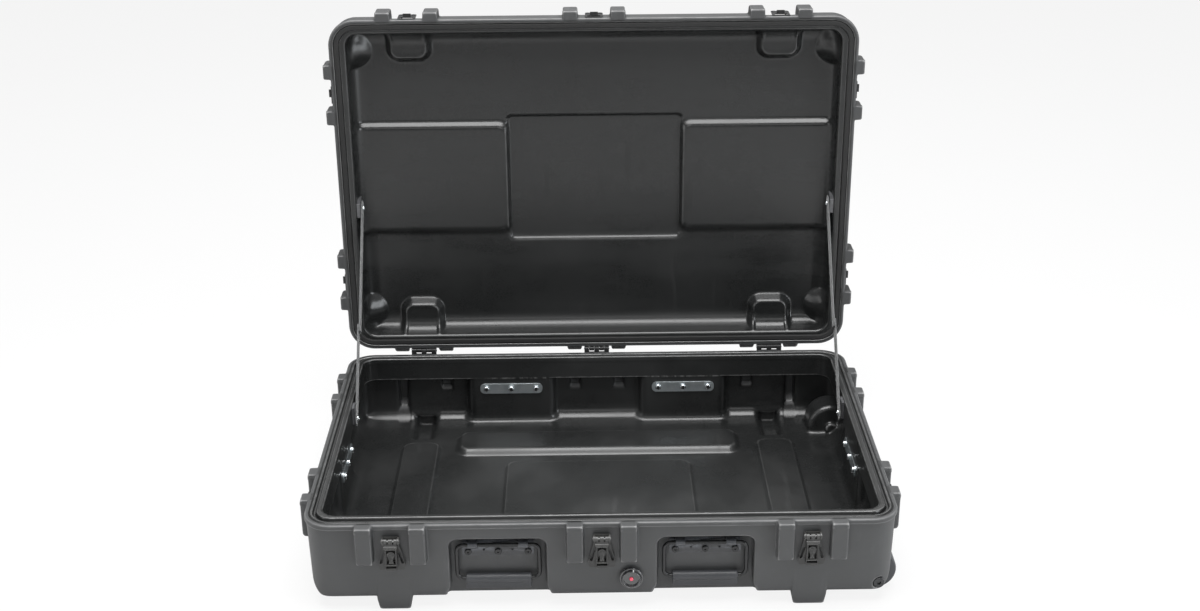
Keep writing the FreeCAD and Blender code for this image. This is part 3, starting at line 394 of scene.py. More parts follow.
def opening_skirt(opening, z, bottom, top):
    """An upright skirt round the opening, as thick as the wall."""
    half = THICKNESS / 2
    return np.maximum(np.abs(opening - half) - half, np.maximum(bottom - z, z - top))


def join_rim(body, outer, edge, opening, band, seal, seal_round, back, wall_end, skirt):
    """Join the wall to its flange, and to the skirt round the opening."""
    rim = soft_min(outer, round_and(edge, band, 1.5), 1.5)
    rim = round_and(rim, seal, seal_round)
    rim = soft_max(rim, back, 1.0)
    rim = round_and(rim, -opening, 2.6)
    wall = soft_max(body, wall_end, 1.0)
    return soft_min(soft_min(wall, rim, 2.0), skirt, 1.5)


# ---------------------------------------------------------------- base shell
def base_outline(grid, form):
    _, x, y, z = grid.part()
    draft = (RIM_Z - z) * (BASE_DRAFT / RIM_Z)
    field = rounded_rect(x, y, WALL_X, WALL_Y, WALL_R) + draft
    bottom = sum(height * pad(x, y, *panel) for height, *panel in FLOOR_PADS)
    under = (bottom - z) / grid.steepness(bottom)
    edge_x = round_and(np.abs(x) - WALL_X + draft, under, form.under_x_round)
    field = soft_max(field, edge_x, 6.0)
    edge_y = round_and(np.abs(y) - WALL_Y + draft, under, form.under_y_round)
    field = soft_max(field, edge_y, 6.0)
    field = soft_max(field, under, 2.0).astype(np.float32)
    add_ribs(grid, field, False, form)
    add_feet(grid, field, form)
    cut_wheel_wells(grid, field, form)
    cut_handle_recesses(grid, field, form)
    return field


def build_base():
    """The base's grid, its solid and its outer outline."""
    grid = shell_grid([(-21, 106, 2.0), (106, 136, 1.0)])
    outer = base_outline(grid, OUTSIDE)
    inner = base_outline(grid, INSIDE) + THICKNESS
    fit_axles(grid, outer, inner)
    body = soft_max(outer, -inner, 1.6)
    block, x, y, z = grid.part(z_span=(84, 140))
    opening = rounded_rect(x, y, OPEN_X, OPEN_Y, OPEN_R)
    edge = rounded_rect(x, y, RIM_X, RIM_Y, RIM_R)
    # sealing face, from the outer edge inwards: a low margin, a groove and a raised lip
    top = (RIM_Z - 1.0 * step(7.6 + edge, 2.2)
           - 4.2 * step(-edge - 12.4, 1.8) * step(17.4 + edge, 1.8)
           + 1.9 * step(-edge - 18.6, 2.0))
    body[block] = join_rim(
        body[block], outer[block], edge, opening, band=118.5 - z, seal=z - top, seal_round=2.6,
        back=121.0 - z, wall_end=z - 124.0, skirt=opening_skirt(opening, z, 91.5, 126.0))
    return grid, body, outer


# ---------------------------------------------------------------- lid shell
def lid_top(x, y):
    """Height of the top panel: a raised middle, end channels, corner pockets and bowls."""
    top = 180.5 + 5.0 * pad(x, y, -149, 149, -119, 105, 9, 9.0)
    for side_x in SIDES:
        top = top - 7.5 * pad(x, y, *span(side_x, 151, 480), -103, 87, 13, 14.0)
        for side_y in SIDES:
            pocket = pad(x, y, *span(side_x, 276, 340), *span(side_y, 220, 330), 17, 15.0)
            top = top - 16.0 * pocket
            # a bowl that runs out straight towards the end wall
            reach = np.hypot(np.maximum(400.0 - side_x * x, 0.0), y - side_y * 235.0)
            top = top - 16.0 * np.clip(1.0 - (reach / 31.0) ** 2, 0.0, 1.0) ** 1.4
    return top


def lid_outline(grid, form):
    _, x, y, z = grid.part()
    field = rounded_rect(x, y, WALL_X, WALL_Y, WALL_R) + (z - RIM_Z) * LID_DRAFT
    top = lid_top(x, y)
    over = (z - top) / grid.steepness(top)
    field = round_and(field, over, form.lid_round).astype(np.float32)
    add_ribs(grid, field, True, OUTSIDE)
    return field


def build_lid():
    """The closed lid's grid, its solid and its outer outline."""
    grid = shell_grid([(125, 146, 1.0), (146, 188.5, 1.9)])
    outer = lid_outline(grid, OUTSIDE)
    inner = lid_outline(grid, INSIDE) + THICKNESS
    # the inside wall runs straight from the rim into the panel
    _, x, y, z = grid.part()
    gap = 0.4
    wall = rounded_rect(x, y, OPEN_X + gap, LID_OPEN_Y + gap, OPEN_R) + (z - RIM_Z) * 0.06
    inner = np.maximum(inner, soft_max(inner, wall, 26.0))
    body = soft_max(outer, -inner, 1.6)
    block, x, y, z = grid.part(z_span=(120, 174))
    opening = rounded_rect(x, y, OPEN_X, LID_OPEN_Y, OPEN_R)
    edge = rounded_rect(x, y, RIM_X, RIM_Y, RIM_R)
    # sealing face, from the outer edge inwards: a flat, a channel and a shallower step
    low = (RIM_Z + 0.3 + 4.9 * step(-edge - 8.0, 1.6) * step(17.0 + edge, 1.6)
           + 2.9 * step(-edge - 17.2, 1.8))
    skirt = np.maximum(opening_skirt(opening, z, 136.0, 168.0), outer[block] + 2.2)
    body[block] = join_rim(
        body[block], outer[block], edge, opening, band=z - 141.5, seal=low - z, seal_round=2.4,
        back=z - 139.0, wall_end=136.0 - z, skirt=skirt)
    return grid, body, outer


# ---------------------------------------------------------------- shader nodes
class Nodes:
    """An emptied node tree with its output, and short ways to add to it."""

    def __init__(self, owner, output):
        owner.use_nodes = True
        self.tree = owner.node_tree
        self.tree.nodes.clear()
        self.output = self.add(output)

    def feed(self, node, inputs):
        """Link each socket, or set each plain value, into the named inputs."""
        for key, value in inputs.items():
            if isinstance(value, bpy.types.NodeSocket):
                self.tree.links.new(value, node.inputs[key])
            else:
                node.inputs[key].default_value = value

    def add(self, kind, inputs={}):
        node = self.tree.nodes.new("ShaderNode" + kind)
        self.feed(node, inputs)
        return node

    def coord(self, space="Object"):
        return self.add("TexCoord").outputs[space]

    def split(self, vector):
        return self.add("SeparateXYZ", {0: vector}).outputs

    def math(self, operation, first, second=0.0):
        node = self.add("Math", {0: first, 1: second})
        node.operation = operation
        return node.outputs[0]

    def plus(self, first, second):
        return self.math("ADD", first, second)

    def times(self, first, second):
        return self.math("MULTIPLY", first, second)

    def noise(self, coord, scale, detail=4.0, rough=0.55, stretch=None):
        node = self.add("TexNoise", {"Scale": scale, "Detail": detail, "Roughness": rough})
        if stretch:
            coord = self.add("Mapping", {"Scale": stretch, "Vector": coord}).outputs["Vector"]
        self.feed(node, {"Vector": coord})
        return node.outputs["Fac"]

    def ramp(self, value, to=(0.0, 1.0), over=(0.0, 1.0)):
        """Carry value from the range `over` to the range `to`."""
        node = self.add("MapRange", {"From Min": over[0], "From Max": over[1],
                                     "To Min": to[0], "To Max": to[1], "Value": value})
        return node.outputs["Result"]

    def mix(self, share, first, second):
        node = self.add("Mix")
        node.data_type = "RGBA"
        colors = [tuple(c) + (1.0,) if isinstance(c, tuple) else c for c in (first, second)]
        self.feed(node, {"Factor": share, 6: colors[0], 7: colors[1]})
        return node.outputs[2]


def new_material(name):
    material = bpy.data.materials.new(name)
    nodes = Nodes(material, "OutputMaterial")
    shader = nodes.add("BsdfPrincipled")
    nodes.feed(nodes.output, {"Surface": shader.outputs["BSDF"]})
    return material, nodes, shader


def add_streaks(nodes, coord, big, color, rough, stretch, light):
    """Faint handling marks: long thin noise, only in patches."""
    lines = nodes.noise(coord, scale=60.0, detail=3.0, rough=0.5, stretch=stretch)
    marks = nodes.times(nodes.ramp(lines, over=(0.60, 0.74)), nodes.ramp(big, over=(0.45, 0.62)))
    rough = nodes.plus(rough, nodes.times(marks, 0.14))
    paler = tuple(min(1.0, c * 2.0 + 0.02) for c in light)
    return nodes.mix(nodes.times(marks, 0.22), color, paler), rough


def add_floor_light_pool(nodes, place, inside, smears, color, rough):
    """The floor in the middle: a little rougher, dulled by what has been packed on it, and painted
    lighter as a painted pool of the overhead light, broken up by the smears.
    """
    from_x = nodes.math("POWER", nodes.times(nodes.math("ABSOLUTE", place["X"]), 3.7), 2.0)
    from_y = nodes.times(nodes.plus(place["Y"], 0.08), 4.4)
    from_y = nodes.math("POWER", nodes.math("ABSOLUTE", from_y), 2.0)
    lightened = nodes.ramp(nodes.plus(from_x, from_y), to=(1.0, 0.0), over=(0.15, 1.5))
    lightened = nodes.times(nodes.times(lightened, inside),
                       nodes.ramp(smears, to=(0.72, 1.0), over=(0.40, 0.62)))
    # painted pool of light: the middle of the floor painted lighter
    color = nodes.mix(nodes.times(lightened, 0.55), color, (0.034, 0.0355, 0.0355))
    return color, nodes.plus(rough, nodes.times(lightened, 0.06))


def add_inside(nodes, coord, tone, color, rough, smear_stretch, smear, scuff_glint_z, lit_floor_middle):
    """The moulding's inside, smoother than its textured outside and painted darker than it: one
    plastic, with the paler sheen that the textured outside catches painted into the colours.
    """
    inside = nodes.add("Attribute")
    inside.attribute_name = "inside"
    inside = inside.outputs["Fac"]
    # painted shade: the same plastic coloured darker inside, the outside's sheen painted into its
    # colours
    painted_dark_inside = nodes.mix(nodes.ramp(tone, over=(0.0, 1.1)),
                     (0.0085, 0.009, 0.009), (0.014, 0.0145, 0.0145))
    color = nodes.mix(inside, color, painted_dark_inside)
    rough = nodes.plus(rough, nodes.times(inside, -0.24))
    # smears left by handling and by the mould
    smears = nodes.noise(coord, scale=5.5, stretch=smear_stretch)
    smeared = nodes.times(inside, nodes.ramp(smears, over=(0.49, 0.63)))
    rough = nodes.plus(rough, nodes.times(smeared, smear))
    color = nodes.mix(nodes.times(smeared, 2.0 * smear), color, (0.040, 0.041, 0.041))
    place = nodes.split(coord)
    # a painted pool of light in the middle of the base's floor
    if lit_floor_middle:
        color, rough = add_floor_light_pool(nodes, place, inside, smears, color, rough)
    # scratches along the lower edge of the rim skirt, with a painted highlight along them
    near = nodes.math("ABSOLUTE", nodes.math("SUBTRACT", place["Z"], scuff_glint_z))
    near = nodes.ramp(near, to=(1.0, 0.0), over=(0.0006, 0.0022))
    patches = nodes.noise(coord, scale=140.0, rough=0.7, stretch=(1.0, 1.0, 0.2))
    scuff_glint = nodes.times(near, nodes.ramp(patches, over=(0.44, 0.62)))
    color = nodes.mix(nodes.times(nodes.times(scuff_glint, inside), 0.75), color, (0.15, 0.15, 0.148))
    return color, rough, inside


def surface_material(name, dark, light, rough, grain, bump, blotch, depth, metal=0.0, edge=None,
                     stretch=None, spec=0.5, streak=None, sheen=0.0, coat=0.0, inside=None):
    """Blotchy grained surface.

    dark, light: colours. rough: roughness range. grain, blotch: noise scales of the fine texture
    and of the patches. bump, depth: bump strength and distance. edge: colour and amount of the
    lighter sharp edges, part wear and part painted highlight. stretch, streak: noise stretches of
    the grain and of handling marks.
    inside: settings for add_inside.
    """
    material, nodes, shader = new_material(name)
    coord = nodes.coord()
    big = nodes.noise(coord, scale=blotch, detail=5.0, rough=0.6)
    mid = nodes.noise(coord, scale=blotch * 9.0, rough=0.6)
    fine = nodes.noise(coord, scale=grain, detail=2.0, rough=0.6, stretch=stretch)
    tone = nodes.plus(nodes.ramp(big, to=(0.0, 0.75), over=(0.35, 0.68)),
                      nodes.ramp(mid, to=(0.0, 0.35), over=(0.3, 0.7)))
    color = nodes.mix(nodes.ramp(tone, over=(0.0, 1.1)), dark, light)
    roughness = nodes.plus(nodes.ramp(big, to=rough, over=(0.35, 0.68)),
                           nodes.ramp(fine, to=(-0.03, 0.03), over=(0.3, 0.7)))
    if streak:
        color, roughness = add_streaks(nodes, coord, big, color, roughness, streak, light)
    if inside:
        color, roughness, within = add_inside(nodes, coord, tone, color, roughness, **inside)
    # sharp edges painted lighter: part edge wear, part a painted highlight along them
    if edge:
        edge_color, amount = edge
        sharp = nodes.add("NewGeometry").outputs["Pointiness"]
        lightened = nodes.times(nodes.ramp(sharp, over=(0.515, 0.57)),
                           nodes.ramp(mid, to=(0.45, 1.0), over=(0.35, 0.65)))
        color = nodes.mix(nodes.times(lightened, amount), color, edge_color)
    nodes.feed(shader, {"Base Color": color, "Roughness": roughness, "Metallic": metal,
                        "Specular IOR Level": spec})
    if sheen:
        nodes.feed(shader, {"Sheen Weight": sheen, "Sheen Roughness": 0.5})
    if coat:
        nodes.feed(shader, {"Coat Weight": coat, "Coat Roughness": 0.15})
    relief = nodes.add("Bump", {"Strength": bump, "Distance": depth})
    if inside:
        nodes.feed(relief, {"Strength": nodes.ramp(within, to=(bump, bump * 0.22))})
    nodes.feed(relief, {"Height": nodes.plus(fine, nodes.times(mid, 0.6))})
    nodes.feed(shader, {"Normal": relief.outputs["Normal"]})
    return material


def webbing_material():
    """Chevron weave from two sine waves, along the strap (U, mm) and across it (V, mm)."""
    material, nodes, shader = new_material("webbing_weave")
    weave = nodes.split(nodes.coord("UV"))
    fold = nodes.math("FRACT", nodes.times(weave["Y"], 0.25))
    fold = nodes.math("ABSOLUTE", nodes.math("SUBTRACT", fold, 0.5))
    slant = nodes.plus(weave["X"], nodes.times(fold, 7.0))
    wave = nodes.math("SINE", nodes.times(slant, 4.2))
    cross = nodes.math("SINE", nodes.times(weave["Y"], 6.28))
    height = nodes.plus(nodes.ramp(wave, to=(0.0, 0.6), over=(-1.0, 1.0)),
                        nodes.ramp(cross, to=(0.0, 0.4), over=(-1.0, 1.0)))
    fuzz = nodes.noise(nodes.coord(), scale=2500.0, detail=3.0, rough=0.6)
    tone = nodes.plus(nodes.times(height, 0.7), nodes.ramp(fuzz, to=(0.0, 0.3), over=(0.3, 0.7)))
    color = nodes.mix(tone, (0.060, 0.0615, 0.063), (0.135, 0.138, 0.140))
    roughness = nodes.ramp(fuzz, to=(0.62, 0.8), over=(0.3, 0.7))
    nodes.feed(shader, {"Base Color": color, "Roughness": roughness, "Sheen Weight": 0.35})
    relief = nodes.add("Bump", {"Strength": 0.7, "Distance": 0.0004})
    nodes.feed(relief, {"Height": nodes.plus(height, nodes.times(fuzz, 0.4))})
    nodes.feed(shader, {"Normal": relief.outputs["Normal"]})
    return material


MAT = {
    "shell": surface_material(
        "shell_plastic", (0.044, 0.0452, 0.0465), (0.056, 0.0572, 0.0582), rough=(0.47, 0.57),
        grain=1300.0, bump=0.30, blotch=5.0, depth=0.0003, edge=((0.42, 0.42, 0.42), 0.75),
        streak=(1.0, 0.12, 0.3),
        inside=dict(smear_stretch=(1.0, 0.7, 1.0), smear=0.08, scuff_glint_z=0.0922, lit_floor_middle=True)),
    # the lid's height for the scratches and their painted highlight lies far below it, so none
    # shows
    "lid": surface_material(
        "lid_plastic", (0.036, 0.0368, 0.0378), (0.048, 0.049, 0.050), rough=(0.47, 0.57),
        grain=1300.0, bump=0.30, blotch=4.3, depth=0.0003, edge=((0.42, 0.42, 0.42), 0.65),
        streak=(1.0, 0.3, 0.1),
        inside=dict(smear_stretch=(0.45, 1.0, 2.6), smear=0.05, scuff_glint_z=-5.0, lit_floor_middle=False)),
    "gasket": surface_material(
        "gasket_rubber", (0.006, 0.006, 0.006), (0.012, 0.012, 0.012), rough=(0.7, 0.85),
        grain=2200.0, bump=0.5, blotch=20.0, depth=0.0003),
    "black_plastic": surface_material(
        "latch_plastic", (0.016, 0.016, 0.016), (0.028, 0.028, 0.027), rough=(0.3, 0.45),
        grain=2600.0, bump=0.25, blotch=60.0, depth=0.0002, edge=((0.12, 0.12, 0.115), 0.5)),
    "dark_plastic": surface_material(
        "grip_plastic", (0.029, 0.0305, 0.034), (0.041, 0.043, 0.0475), rough=(0.38, 0.50),
        grain=2200.0, bump=0.3, blotch=40.0, depth=0.0002, edge=((0.16, 0.165, 0.175), 0.5)),
    "black_steel": surface_material(
        "black_steel", (0.018, 0.019, 0.0205), (0.030, 0.031, 0.033), rough=(0.26, 0.38),
        metal=0.35, grain=1800.0, bump=0.18, blotch=70.0, depth=0.00015,
        edge=((0.20, 0.20, 0.21), 0.6), coat=0.25),
    "keeper": surface_material(
        "keeper_steel", (0.007, 0.007, 0.0075), (0.013, 0.013, 0.0135), rough=(0.4, 0.55),
        metal=0.1, grain=1800.0, bump=0.18, blotch=70.0, depth=0.00015),
    "valve": surface_material(
        "valve_ring", (0.020, 0.021, 0.022), (0.030, 0.031, 0.033), rough=(0.10, 0.18),
        grain=2600.0, bump=0.10, blotch=60.0, depth=0.0001, coat=1.0),
    "bail": surface_material(
        "bail_steel", (0.012, 0.0125, 0.013), (0.020, 0.0205, 0.0215), rough=(0.12, 0.22),
        metal=0.3, grain=1800.0, bump=0.10, blotch=60.0, depth=0.0001, spec=0.55),
    "pin": surface_material(
        "pin_steel", (0.10, 0.10, 0.10), (0.16, 0.16, 0.16), rough=(0.30, 0.42),
        metal=0.8, grain=1800.0, bump=0.15, blotch=90.0, depth=0.0001),
    "plate_paint": surface_material(
        "plate_paint", (0.019, 0.0195, 0.0215), (0.029, 0.030, 0.033), rough=(0.26, 0.36),
        metal=0.2, grain=1800.0, bump=0.2, blotch=50.0, depth=0.00015,
        edge=((0.16, 0.17, 0.19), 0.5), coat=0.2),
    "zinc": surface_material(
        "zinc_plate", (0.50, 0.56, 0.59), (0.66, 0.71, 0.73), rough=(0.30, 0.44),
        metal=1.0, grain=900.0, bump=0.12, blotch=90.0, depth=0.0001,
        edge=((0.85, 0.87, 0.88), 0.5), stretch=(1.0, 6.0, 6.0)),
    "bright_steel": surface_material(
        "bright_steel", (0.66, 0.70, 0.72), (0.80, 0.83, 0.84), rough=(0.14, 0.24),
        metal=1.0, grain=1600.0, bump=0.08, blotch=120.0, depth=0.0001),
    "tyre": surface_material(
        "tyre_rubber", (0.045, 0.048, 0.052), (0.065, 0.068, 0.072), rough=(0.45, 0.62),
        grain=1400.0, bump=0.4, blotch=35.0, depth=0.0003),
    "hub": surface_material(
        "hub_plastic", (0.07, 0.07, 0.072), (0.10, 0.10, 0.103), rough=(0.3, 0.42),
        grain=1600.0, bump=0.2, blotch=50.0, depth=0.0002),
    "red_plastic": surface_material(
        "button_plastic", (0.72, 0.05, 0.10), (0.86, 0.12, 0.18), rough=(0.22, 0.32),
        grain=2000.0, bump=0.08, blotch=200.0, depth=0.0001, coat=0.5),
    "thread": surface_material(
        "stitch_thread", (0.05, 0.05, 0.052), (0.09, 0.09, 0.093), rough=(0.6, 0.75),
        grain=6000.0, bump=0.4, blotch=300.0, depth=0.0001, sheen=0.3),
    "webbing": webbing_material(),
}


def dress(obj, material):
    obj.data.materials.clear()
    obj.data.materials.append(MAT[material])


# ---------------------------------------------------------------- the moulded shells
def add_shell(body, material, build, opened):
    verts, quads, depth = surface(*build())
    edge = rounded_rect(verts[:, 0], verts[:, 1], RIM_X, RIM_Y, RIM_R)
    inside = step(-np.maximum(depth, edge) - 2.9, 1.6)
    if opened:
        x, y, z = verts.T
        verts = np.stack((x, HINGE_Y + (z - HINGE_Z), HINGE_Z - (y - HINGE_Y)), 1)
    obj = make_mesh(body + "_moulding", verts / 1000.0, quads)
    marks = obj.data.attributes.new("inside", "FLOAT", "POINT")
    marks.data.foreach_set("value", inside.astype(np.float32))
    dress(obj, material)
    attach(obj, body)
    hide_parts(body + "_shell")


add_shell("base", "shell", build_base, opened=False)
add_shell("lid", "lid", build_lid, opened=True)

# ---------------------------------------------------------------- webbing straps, metres
STRAP_HALF, STRAP_HALF_T = 0.0125, 0.00095
STRAP_LEAD = 0.0125  # the band starts this far before its anchor
STRAP_ROW, STRAP_COLUMNS = 0.0016, 24
BASE_ANCHOR, LID_ANCHOR = (0.096, 0.104), (0.315, 0.396)  # (y, z)
LOWER_LENGTH, OVERLAP = 0.1526, 0.006
STITCH_PITCH, STITCH_EDGE = 0.0032, 0.0095
THREAD_WIDTH, THREAD_HEIGHT, THREAD_LIFT = 0.00042, 0.00034, 0.00012
THREAD_RINGS, THREAD_SIDES = 5, 6


def recalculate_normals(obj):
    mesh = bmesh.new()
    mesh.from_mesh(obj.data)
    bmesh.ops.recalc_face_normals(mesh, faces=mesh.faces)
    mesh.to_mesh(obj.data)
    mesh.free()
    obj.data.update()


def strap_band(name, centre_x, place, length):
    """Closed band with ridged faces, rounded selvedges and a rounded start."""
    rows, columns = int(length / STRAP_ROW), STRAP_COLUMNS
    # section: out over one face and back over the other, as (across, face)
    across = [-STRAP_HALF + 2 * STRAP_HALF * i / columns for i in range(columns + 1)]
    section = [(v, 1) for v in across] + [(v, -1) for v in reversed(across)]
    size = len(section)
    verts, uvs = [], []
    for k in range(rows + 1):
        along = -STRAP_LEAD + (length + STRAP_LEAD) * k / rows
        end = min(1.0, max(0.0, (along + STRAP_LEAD) / 0.010))
        trim = math.sqrt(max(0.0, 1 - (1 - end) ** 2)) if along < -0.0025 else 1.0
        for v, face in section:
            lip = math.sqrt(max(0.0, 1 - (abs(v) / STRAP_HALF) ** 10))
            ridge = (0.00011 * math.sin(v / STRAP_HALF * 12 * math.pi)
                     + 0.00006 * math.sin(along / 0.0021 * math.pi))
            x = centre_x + face * (STRAP_HALF_T * (0.25 + 0.75 * lip) + ridge * lip)
            verts.append(place(x, along, v * max(trim, 0.45))[:])
            uvs.append((along * 1000.0, v * 1000.0))
    faces = []
    for k in range(rows):
        for i in range(size):
            j = (i + 1) % size
            faces.append((k * size + i, k * size + j, (k + 1) * size + j, (k + 1) * size + i))
    # strips across both ends
    for k in (0, rows):
        for i in range(columns):
            first, last = k * size + i, k * size + size - 1 - i
            strip = (first, first + 1, last - 1, last)
            faces.append(strip if k == rows else strip[::-1])
    obj = make_mesh(name, verts, faces)
    layer = obj.data.uv_layers.new(name="UVMap")
    corners = np.zeros(len(obj.data.loops), np.int32)
    obj.data.loops.foreach_get("vertex_index", corners)
    layer.data.foreach_set("uv", np.array(uvs, np.float32)[corners].ravel())
    recalculate_normals(obj)
    return obj


def add_stitch(verts, faces, start, end):
    """One stitch: a short open tube, fullest in the middle."""
    first = len(verts)
    run, out = end - start, Vector((1, 0, 0))
    width = run.cross(out).normalized() * THREAD_WIDTH
    height = out * THREAD_HEIGHT
    for k in range(THREAD_RINGS):
        share = k / (THREAD_RINGS - 1)
        centre = start + run * share
        full = 0.35 + 0.65 * math.sin(math.pi * (0.12 + 0.76 * share))
        for i in range(THREAD_SIDES):
            angle = math.tau * i / THREAD_SIDES
            point = centre + width * math.cos(angle) * full + height * math.sin(angle) * full
            verts.append(point[:])
    for k in range(THREAD_RINGS - 1):
        row = first + k * THREAD_SIDES
        for i in range(THREAD_SIDES):
            a, b = row + i, row + (i + 1) % THREAD_SIDES
            faces.append((a, b, b + THREAD_SIDES, a + THREAD_SIDES))


def strap_stitching(name, x, place, length):
    """A crossed box of stitches near the anchor and a plain box by the fold."""
    verts, faces = [], []
    edge = STITCH_EDGE
    boxes = [(0.0115, 0.0315, True), (length - 0.014, length - 0.002, False)]
    for s0, s1, crossed in boxes:
        lines = [(s0, -edge, s1, -edge), (s0, edge, s1, edge),
                 (s0, -edge, s0, edge), (s1, -edge, s1, edge)]
        if crossed:
            lines += [(s0, -edge, s1, edge), (s0, edge, s1, -edge)]
        for u0, v0, u1, v1 in lines:
            count = max(1, int(math.hypot(u1 - u0, v1 - v0) / STITCH_PITCH))
            for i in range(count):
                start, end = [place(x, u0 + (u1 - u0) * share, v0 + (v1 - v0) * share)
                              for share in ((i + 0.12) / count, (i + 0.88) / count)]
                add_stitch(verts, faces, start, end)
    return make_mesh(name, verts, faces)


def strap(node, other, anchor, direction, length):
    """One half of a lid strap; it lies along Y-Z, and its thickness along X."""
    centre_x, other_x = [(low.x + high.x) / 2 for low, high in (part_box(node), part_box(other))]
    run = Vector((0, *direction)).normalized()
    across = Vector((0, -run.z, run.y))

    def place(x, along, sideways):
        return Vector((x, *anchor)) + run * along + across * sideways

    band = strap_band("lid_" + node, centre_x, place, length)
    dress(band, "webbing")
    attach(band, node)
    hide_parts(node)
    # the two halves fold face to face, so the proud thread is on the outer faces
    away = 1 if centre_x > other_x else -1
    thread_x = centre_x + away * (STRAP_HALF_T + THREAD_LIFT)
    stitching = strap_stitching(f"lid_{node}_stitching", thread_x, place, length)
    dress(stitching, "thread")
    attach(stitching, node)


rise = [lid - base for lid, base in zip(LID_ANCHOR, BASE_ANCHOR)]
anchor_gap = math.hypot(*rise)
up_strap = [c / anchor_gap for c in rise]
down_strap = [-c for c in up_strap]
for hand in ("left", "right"):
    lower_half, upper_half = "strap_lower_" + hand, "strap_upper_" + hand
    strap(lower_half, upper_half, BASE_ANCHOR, up_strap, LOWER_LENGTH + OVERLAP)
    strap(upper_half, lower_half, LID_ANCHOR, down_strap, anchor_gap - LOWER_LENGTH + OVERLAP)


# ---------------------------------------------------------------- hardware carried over
REBUILT = ("base_shell", "lid_shell", "strap_lower", "strap_upper")
# flats and cones with crisp edges: shaded by facet, the bevels carry the highlights
CRISP = ("latch_arm", "latch_base_plates", "latch_keepers", "latch_trigger", "valve_body",
         "valve_lock_nut", "handle_mount_plates", "handle_backing_plates", "hinge_base_leaves",
         "hinge_lid_leaves", "strap_base_brackets", "strap_lid_brackets", "wheel_axles")
# the other pieces take the material named after their slot
OWN_MATERIAL = {
    "latch_keepers": "keeper", "hinge_lid_leaves": "keeper", "hinge_base_leaves": "keeper",
    "valve_body": "valve", "latch_pivot_pins": "pin", "latch_rivets": "pin",
    "handle_bolts": "bail",
}
SLOT_OF = {piece["node"]: piece["material_slot"] for piece in frame["record"]["subparts"]}


def hardware_material(node):
    if node.startswith("handle_bail"):
        return "bail"
    return OWN_MATERIAL.get(node) or SLOT_OF[node]


def finish_hardware(node):
    obj = NODES[node]
    dress(obj, hardware_material(node))
    polygons = obj.data.polygons
    crisp = node.startswith(CRISP)
    polygons.foreach_set("use_smooth", np.full(len(polygons), not crisp))
    weld = obj.modifiers.new("weld", "WELD")
    weld.merge_threshold = 0.00001
    bevel = obj.modifiers.new("bevel", "BEVEL")
    bevel.width = 0.0006 if node.startswith(("handle_grip", "wheel")) else 0.0003
    bevel.segments = 2
    bevel.limit_method = "ANGLE"
    bevel.angle_limit = math.radians(32)
    bevel.use_clamp_overlap = True
    bevel.harden_normals = False
    if not crisp:
        normals = obj.modifiers.new("normals", "WEIGHTED_NORMAL")
        normals.keep_sharp = False
        normals.weight = 60


for node in NODES:
    if not node.startswith(REBUILT):
        finish_hardware(node)

# ---------------------------------------------------------------- camera
CAMERA_PLACE = (-22.82, -2326.006, 1212.595 + RIM_Z)  # mm
CAMERA_TURN = (0.413006, -0.0110965, -0.00726)  # radians about x right, y down, z forward


def turn(axis, angle):
    """Rotation matrix about one axis."""
    i, j = (axis + 1) % 3, (axis + 2) % 3
    matrix = np.eye(3)
    matrix[i, i] = matrix[j, j] = math.cos(angle)
    matrix[i, j], matrix[j, i] = -math.sin(angle), math.sin(angle)
    return matrix


def add_camera():
    view = turn(2, CAMERA_TURN[2]) @ turn(0, CAMERA_TURN[0]) @ turn(1, CAMERA_TURN[1])
    # from y down, z forward to the case's y back, z up
    right, down, forward = [(row[0], row[2], -row[1]) for row in view]
    data = bpy.data.cameras.new("camera")
    data.sensor_width = 36.0
    data.sensor_fit = "HORIZONTAL"
    data.lens = 48.79962
    data.shift_y = 0.010466667
    data.clip_start, data.clip_end = 0.05, 50.0
    camera = bpy.data.objects.new("camera", data)
    bpy.context.scene.collection.objects.link(camera)
    rows = [(float(right[i]), float(-down[i]), float(-forward[i]), CAMERA_PLACE[i] / 1000.0)
            for i in range(3)]
    camera.matrix_world = Matrix(rows + [(0, 0, 0, 1)])
    bpy.context.scene.camera = camera


add_camera()


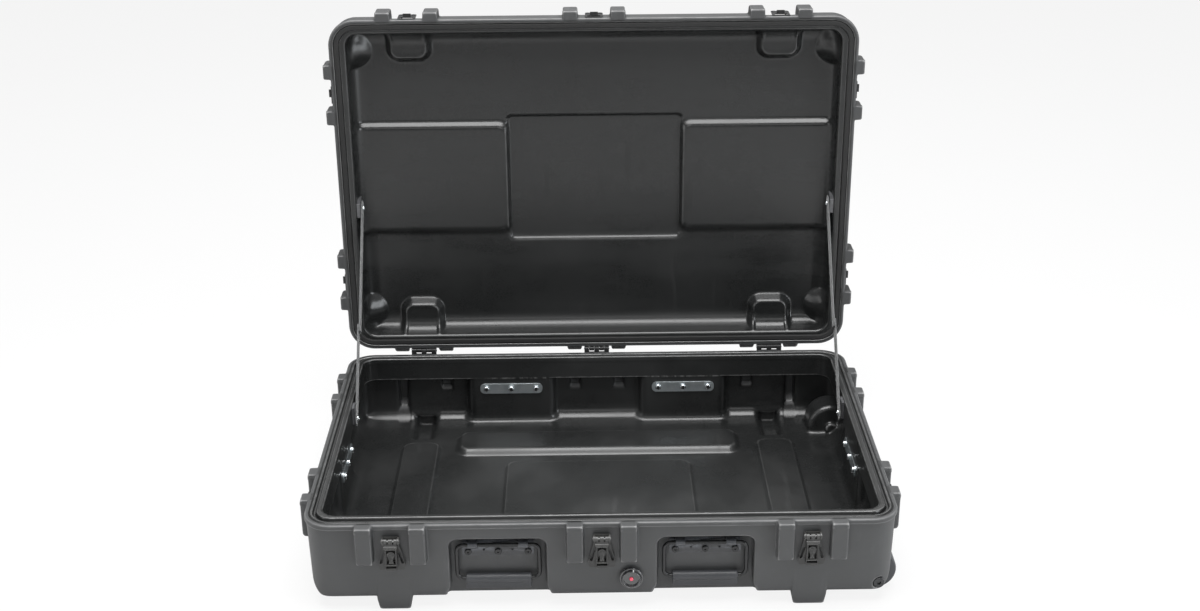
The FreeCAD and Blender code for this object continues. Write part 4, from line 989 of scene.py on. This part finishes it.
# ---------------------------------------------------------------- floor, lights, world, metres
def add_floor(half=6, z=-0.0172):
    corners = [(-half, -half, z), (half, -half, z), (half, half, z), (-half, half, z)]
    floor = make_mesh("floor", corners, [(0, 1, 2, 3)])
    paint, nodes, shader = new_material("floor_paint")
    patches = nodes.noise(nodes.coord(), scale=3.0)
    nodes.feed(shader, {
        "Base Color": nodes.mix(patches, (0.60, 0.60, 0.60), (0.64, 0.64, 0.64)),
        "Roughness": 0.85, "Specular IOR Level": 0.1})
    # camera rays alone see it mixed with white, so it shows close to white but bounces
    # less light onto the case
    glow = nodes.add("Emission", {"Color": (1.0, 1.0, 1.0, 1.0), "Strength": 1.0})
    seen = nodes.add("LightPath").outputs["Is Camera Ray"]
    blend = nodes.add("MixShader", {1: shader.outputs["BSDF"], 2: glow.outputs[0]})
    nodes.feed(blend, {"Fac": nodes.times(seen, 0.87)})
    nodes.feed(nodes.output, {"Surface": blend.outputs[0]})
    floor.data.materials.append(paint)


def area(name, place, target, size, power, color=(1, 1, 1)):
    light = bpy.data.lights.new(name, "AREA")
    light.shape = "RECTANGLE"
    light.size, light.size_y = size
    light.energy = power
    light.color = color
    obj = bpy.data.objects.new(name, light)
    bpy.context.scene.collection.objects.link(obj)
    obj.location = place
    aim = Vector(target) - Vector(place)
    obj.rotation_euler = aim.to_track_quat("-Z", "Y").to_euler()


def add_world():
    """White to the camera; a soft light, brighter from above, for everything else."""
    world = bpy.data.worlds.new("studio")
    bpy.context.scene.world = world
    nodes = Nodes(world, "OutputWorld")
    path = nodes.add("LightPath")
    seen = nodes.add("Background", {"Color": (1, 1, 1, 1), "Strength": 1.0})
    soft = nodes.add("Background", {"Strength": 0.32})
    height = nodes.ramp(nodes.split(nodes.coord("Generated"))["Z"], over=(-0.2, 1.0))
    nodes.feed(soft, {"Color": nodes.mix(height, (0.40, 0.41, 0.42), (1.0, 1.0, 1.0))})
    blend = nodes.add("MixShader", {"Fac": path.outputs["Is Camera Ray"],
                                    1: soft.outputs[0], 2: seen.outputs[0]})
    nodes.feed(nodes.output, {"Surface": blend.outputs[0]})


add_floor()
area("overhead", place=(0.0, -0.3, 2.6), target=(0, -0.2, 0.0), size=(2.4, 2.0), power=150)
area("front_fill", place=(0.0, -3.4, 1.7), target=(0, -0.1, 0.2), size=(3.0, 1.0), power=16)
area("left_strip", place=(-2.6, -1.3, 0.9), target=(-0.2, -0.1, 0.15), size=(0.7, 1.8), power=10)
area("right_strip", place=(2.5, -1.5, 0.8), target=(0.3, -0.1, 0.12), size=(0.7, 1.8), power=36,
     color=(0.93, 0.97, 1.0))
area("back_rim", place=(0.0, 2.6, 2.2), target=(0, 0.2, 0.5), size=(3.0, 1.0), power=14)
add_world()
bpy.context.scene.view_settings.view_transform = "Standard"
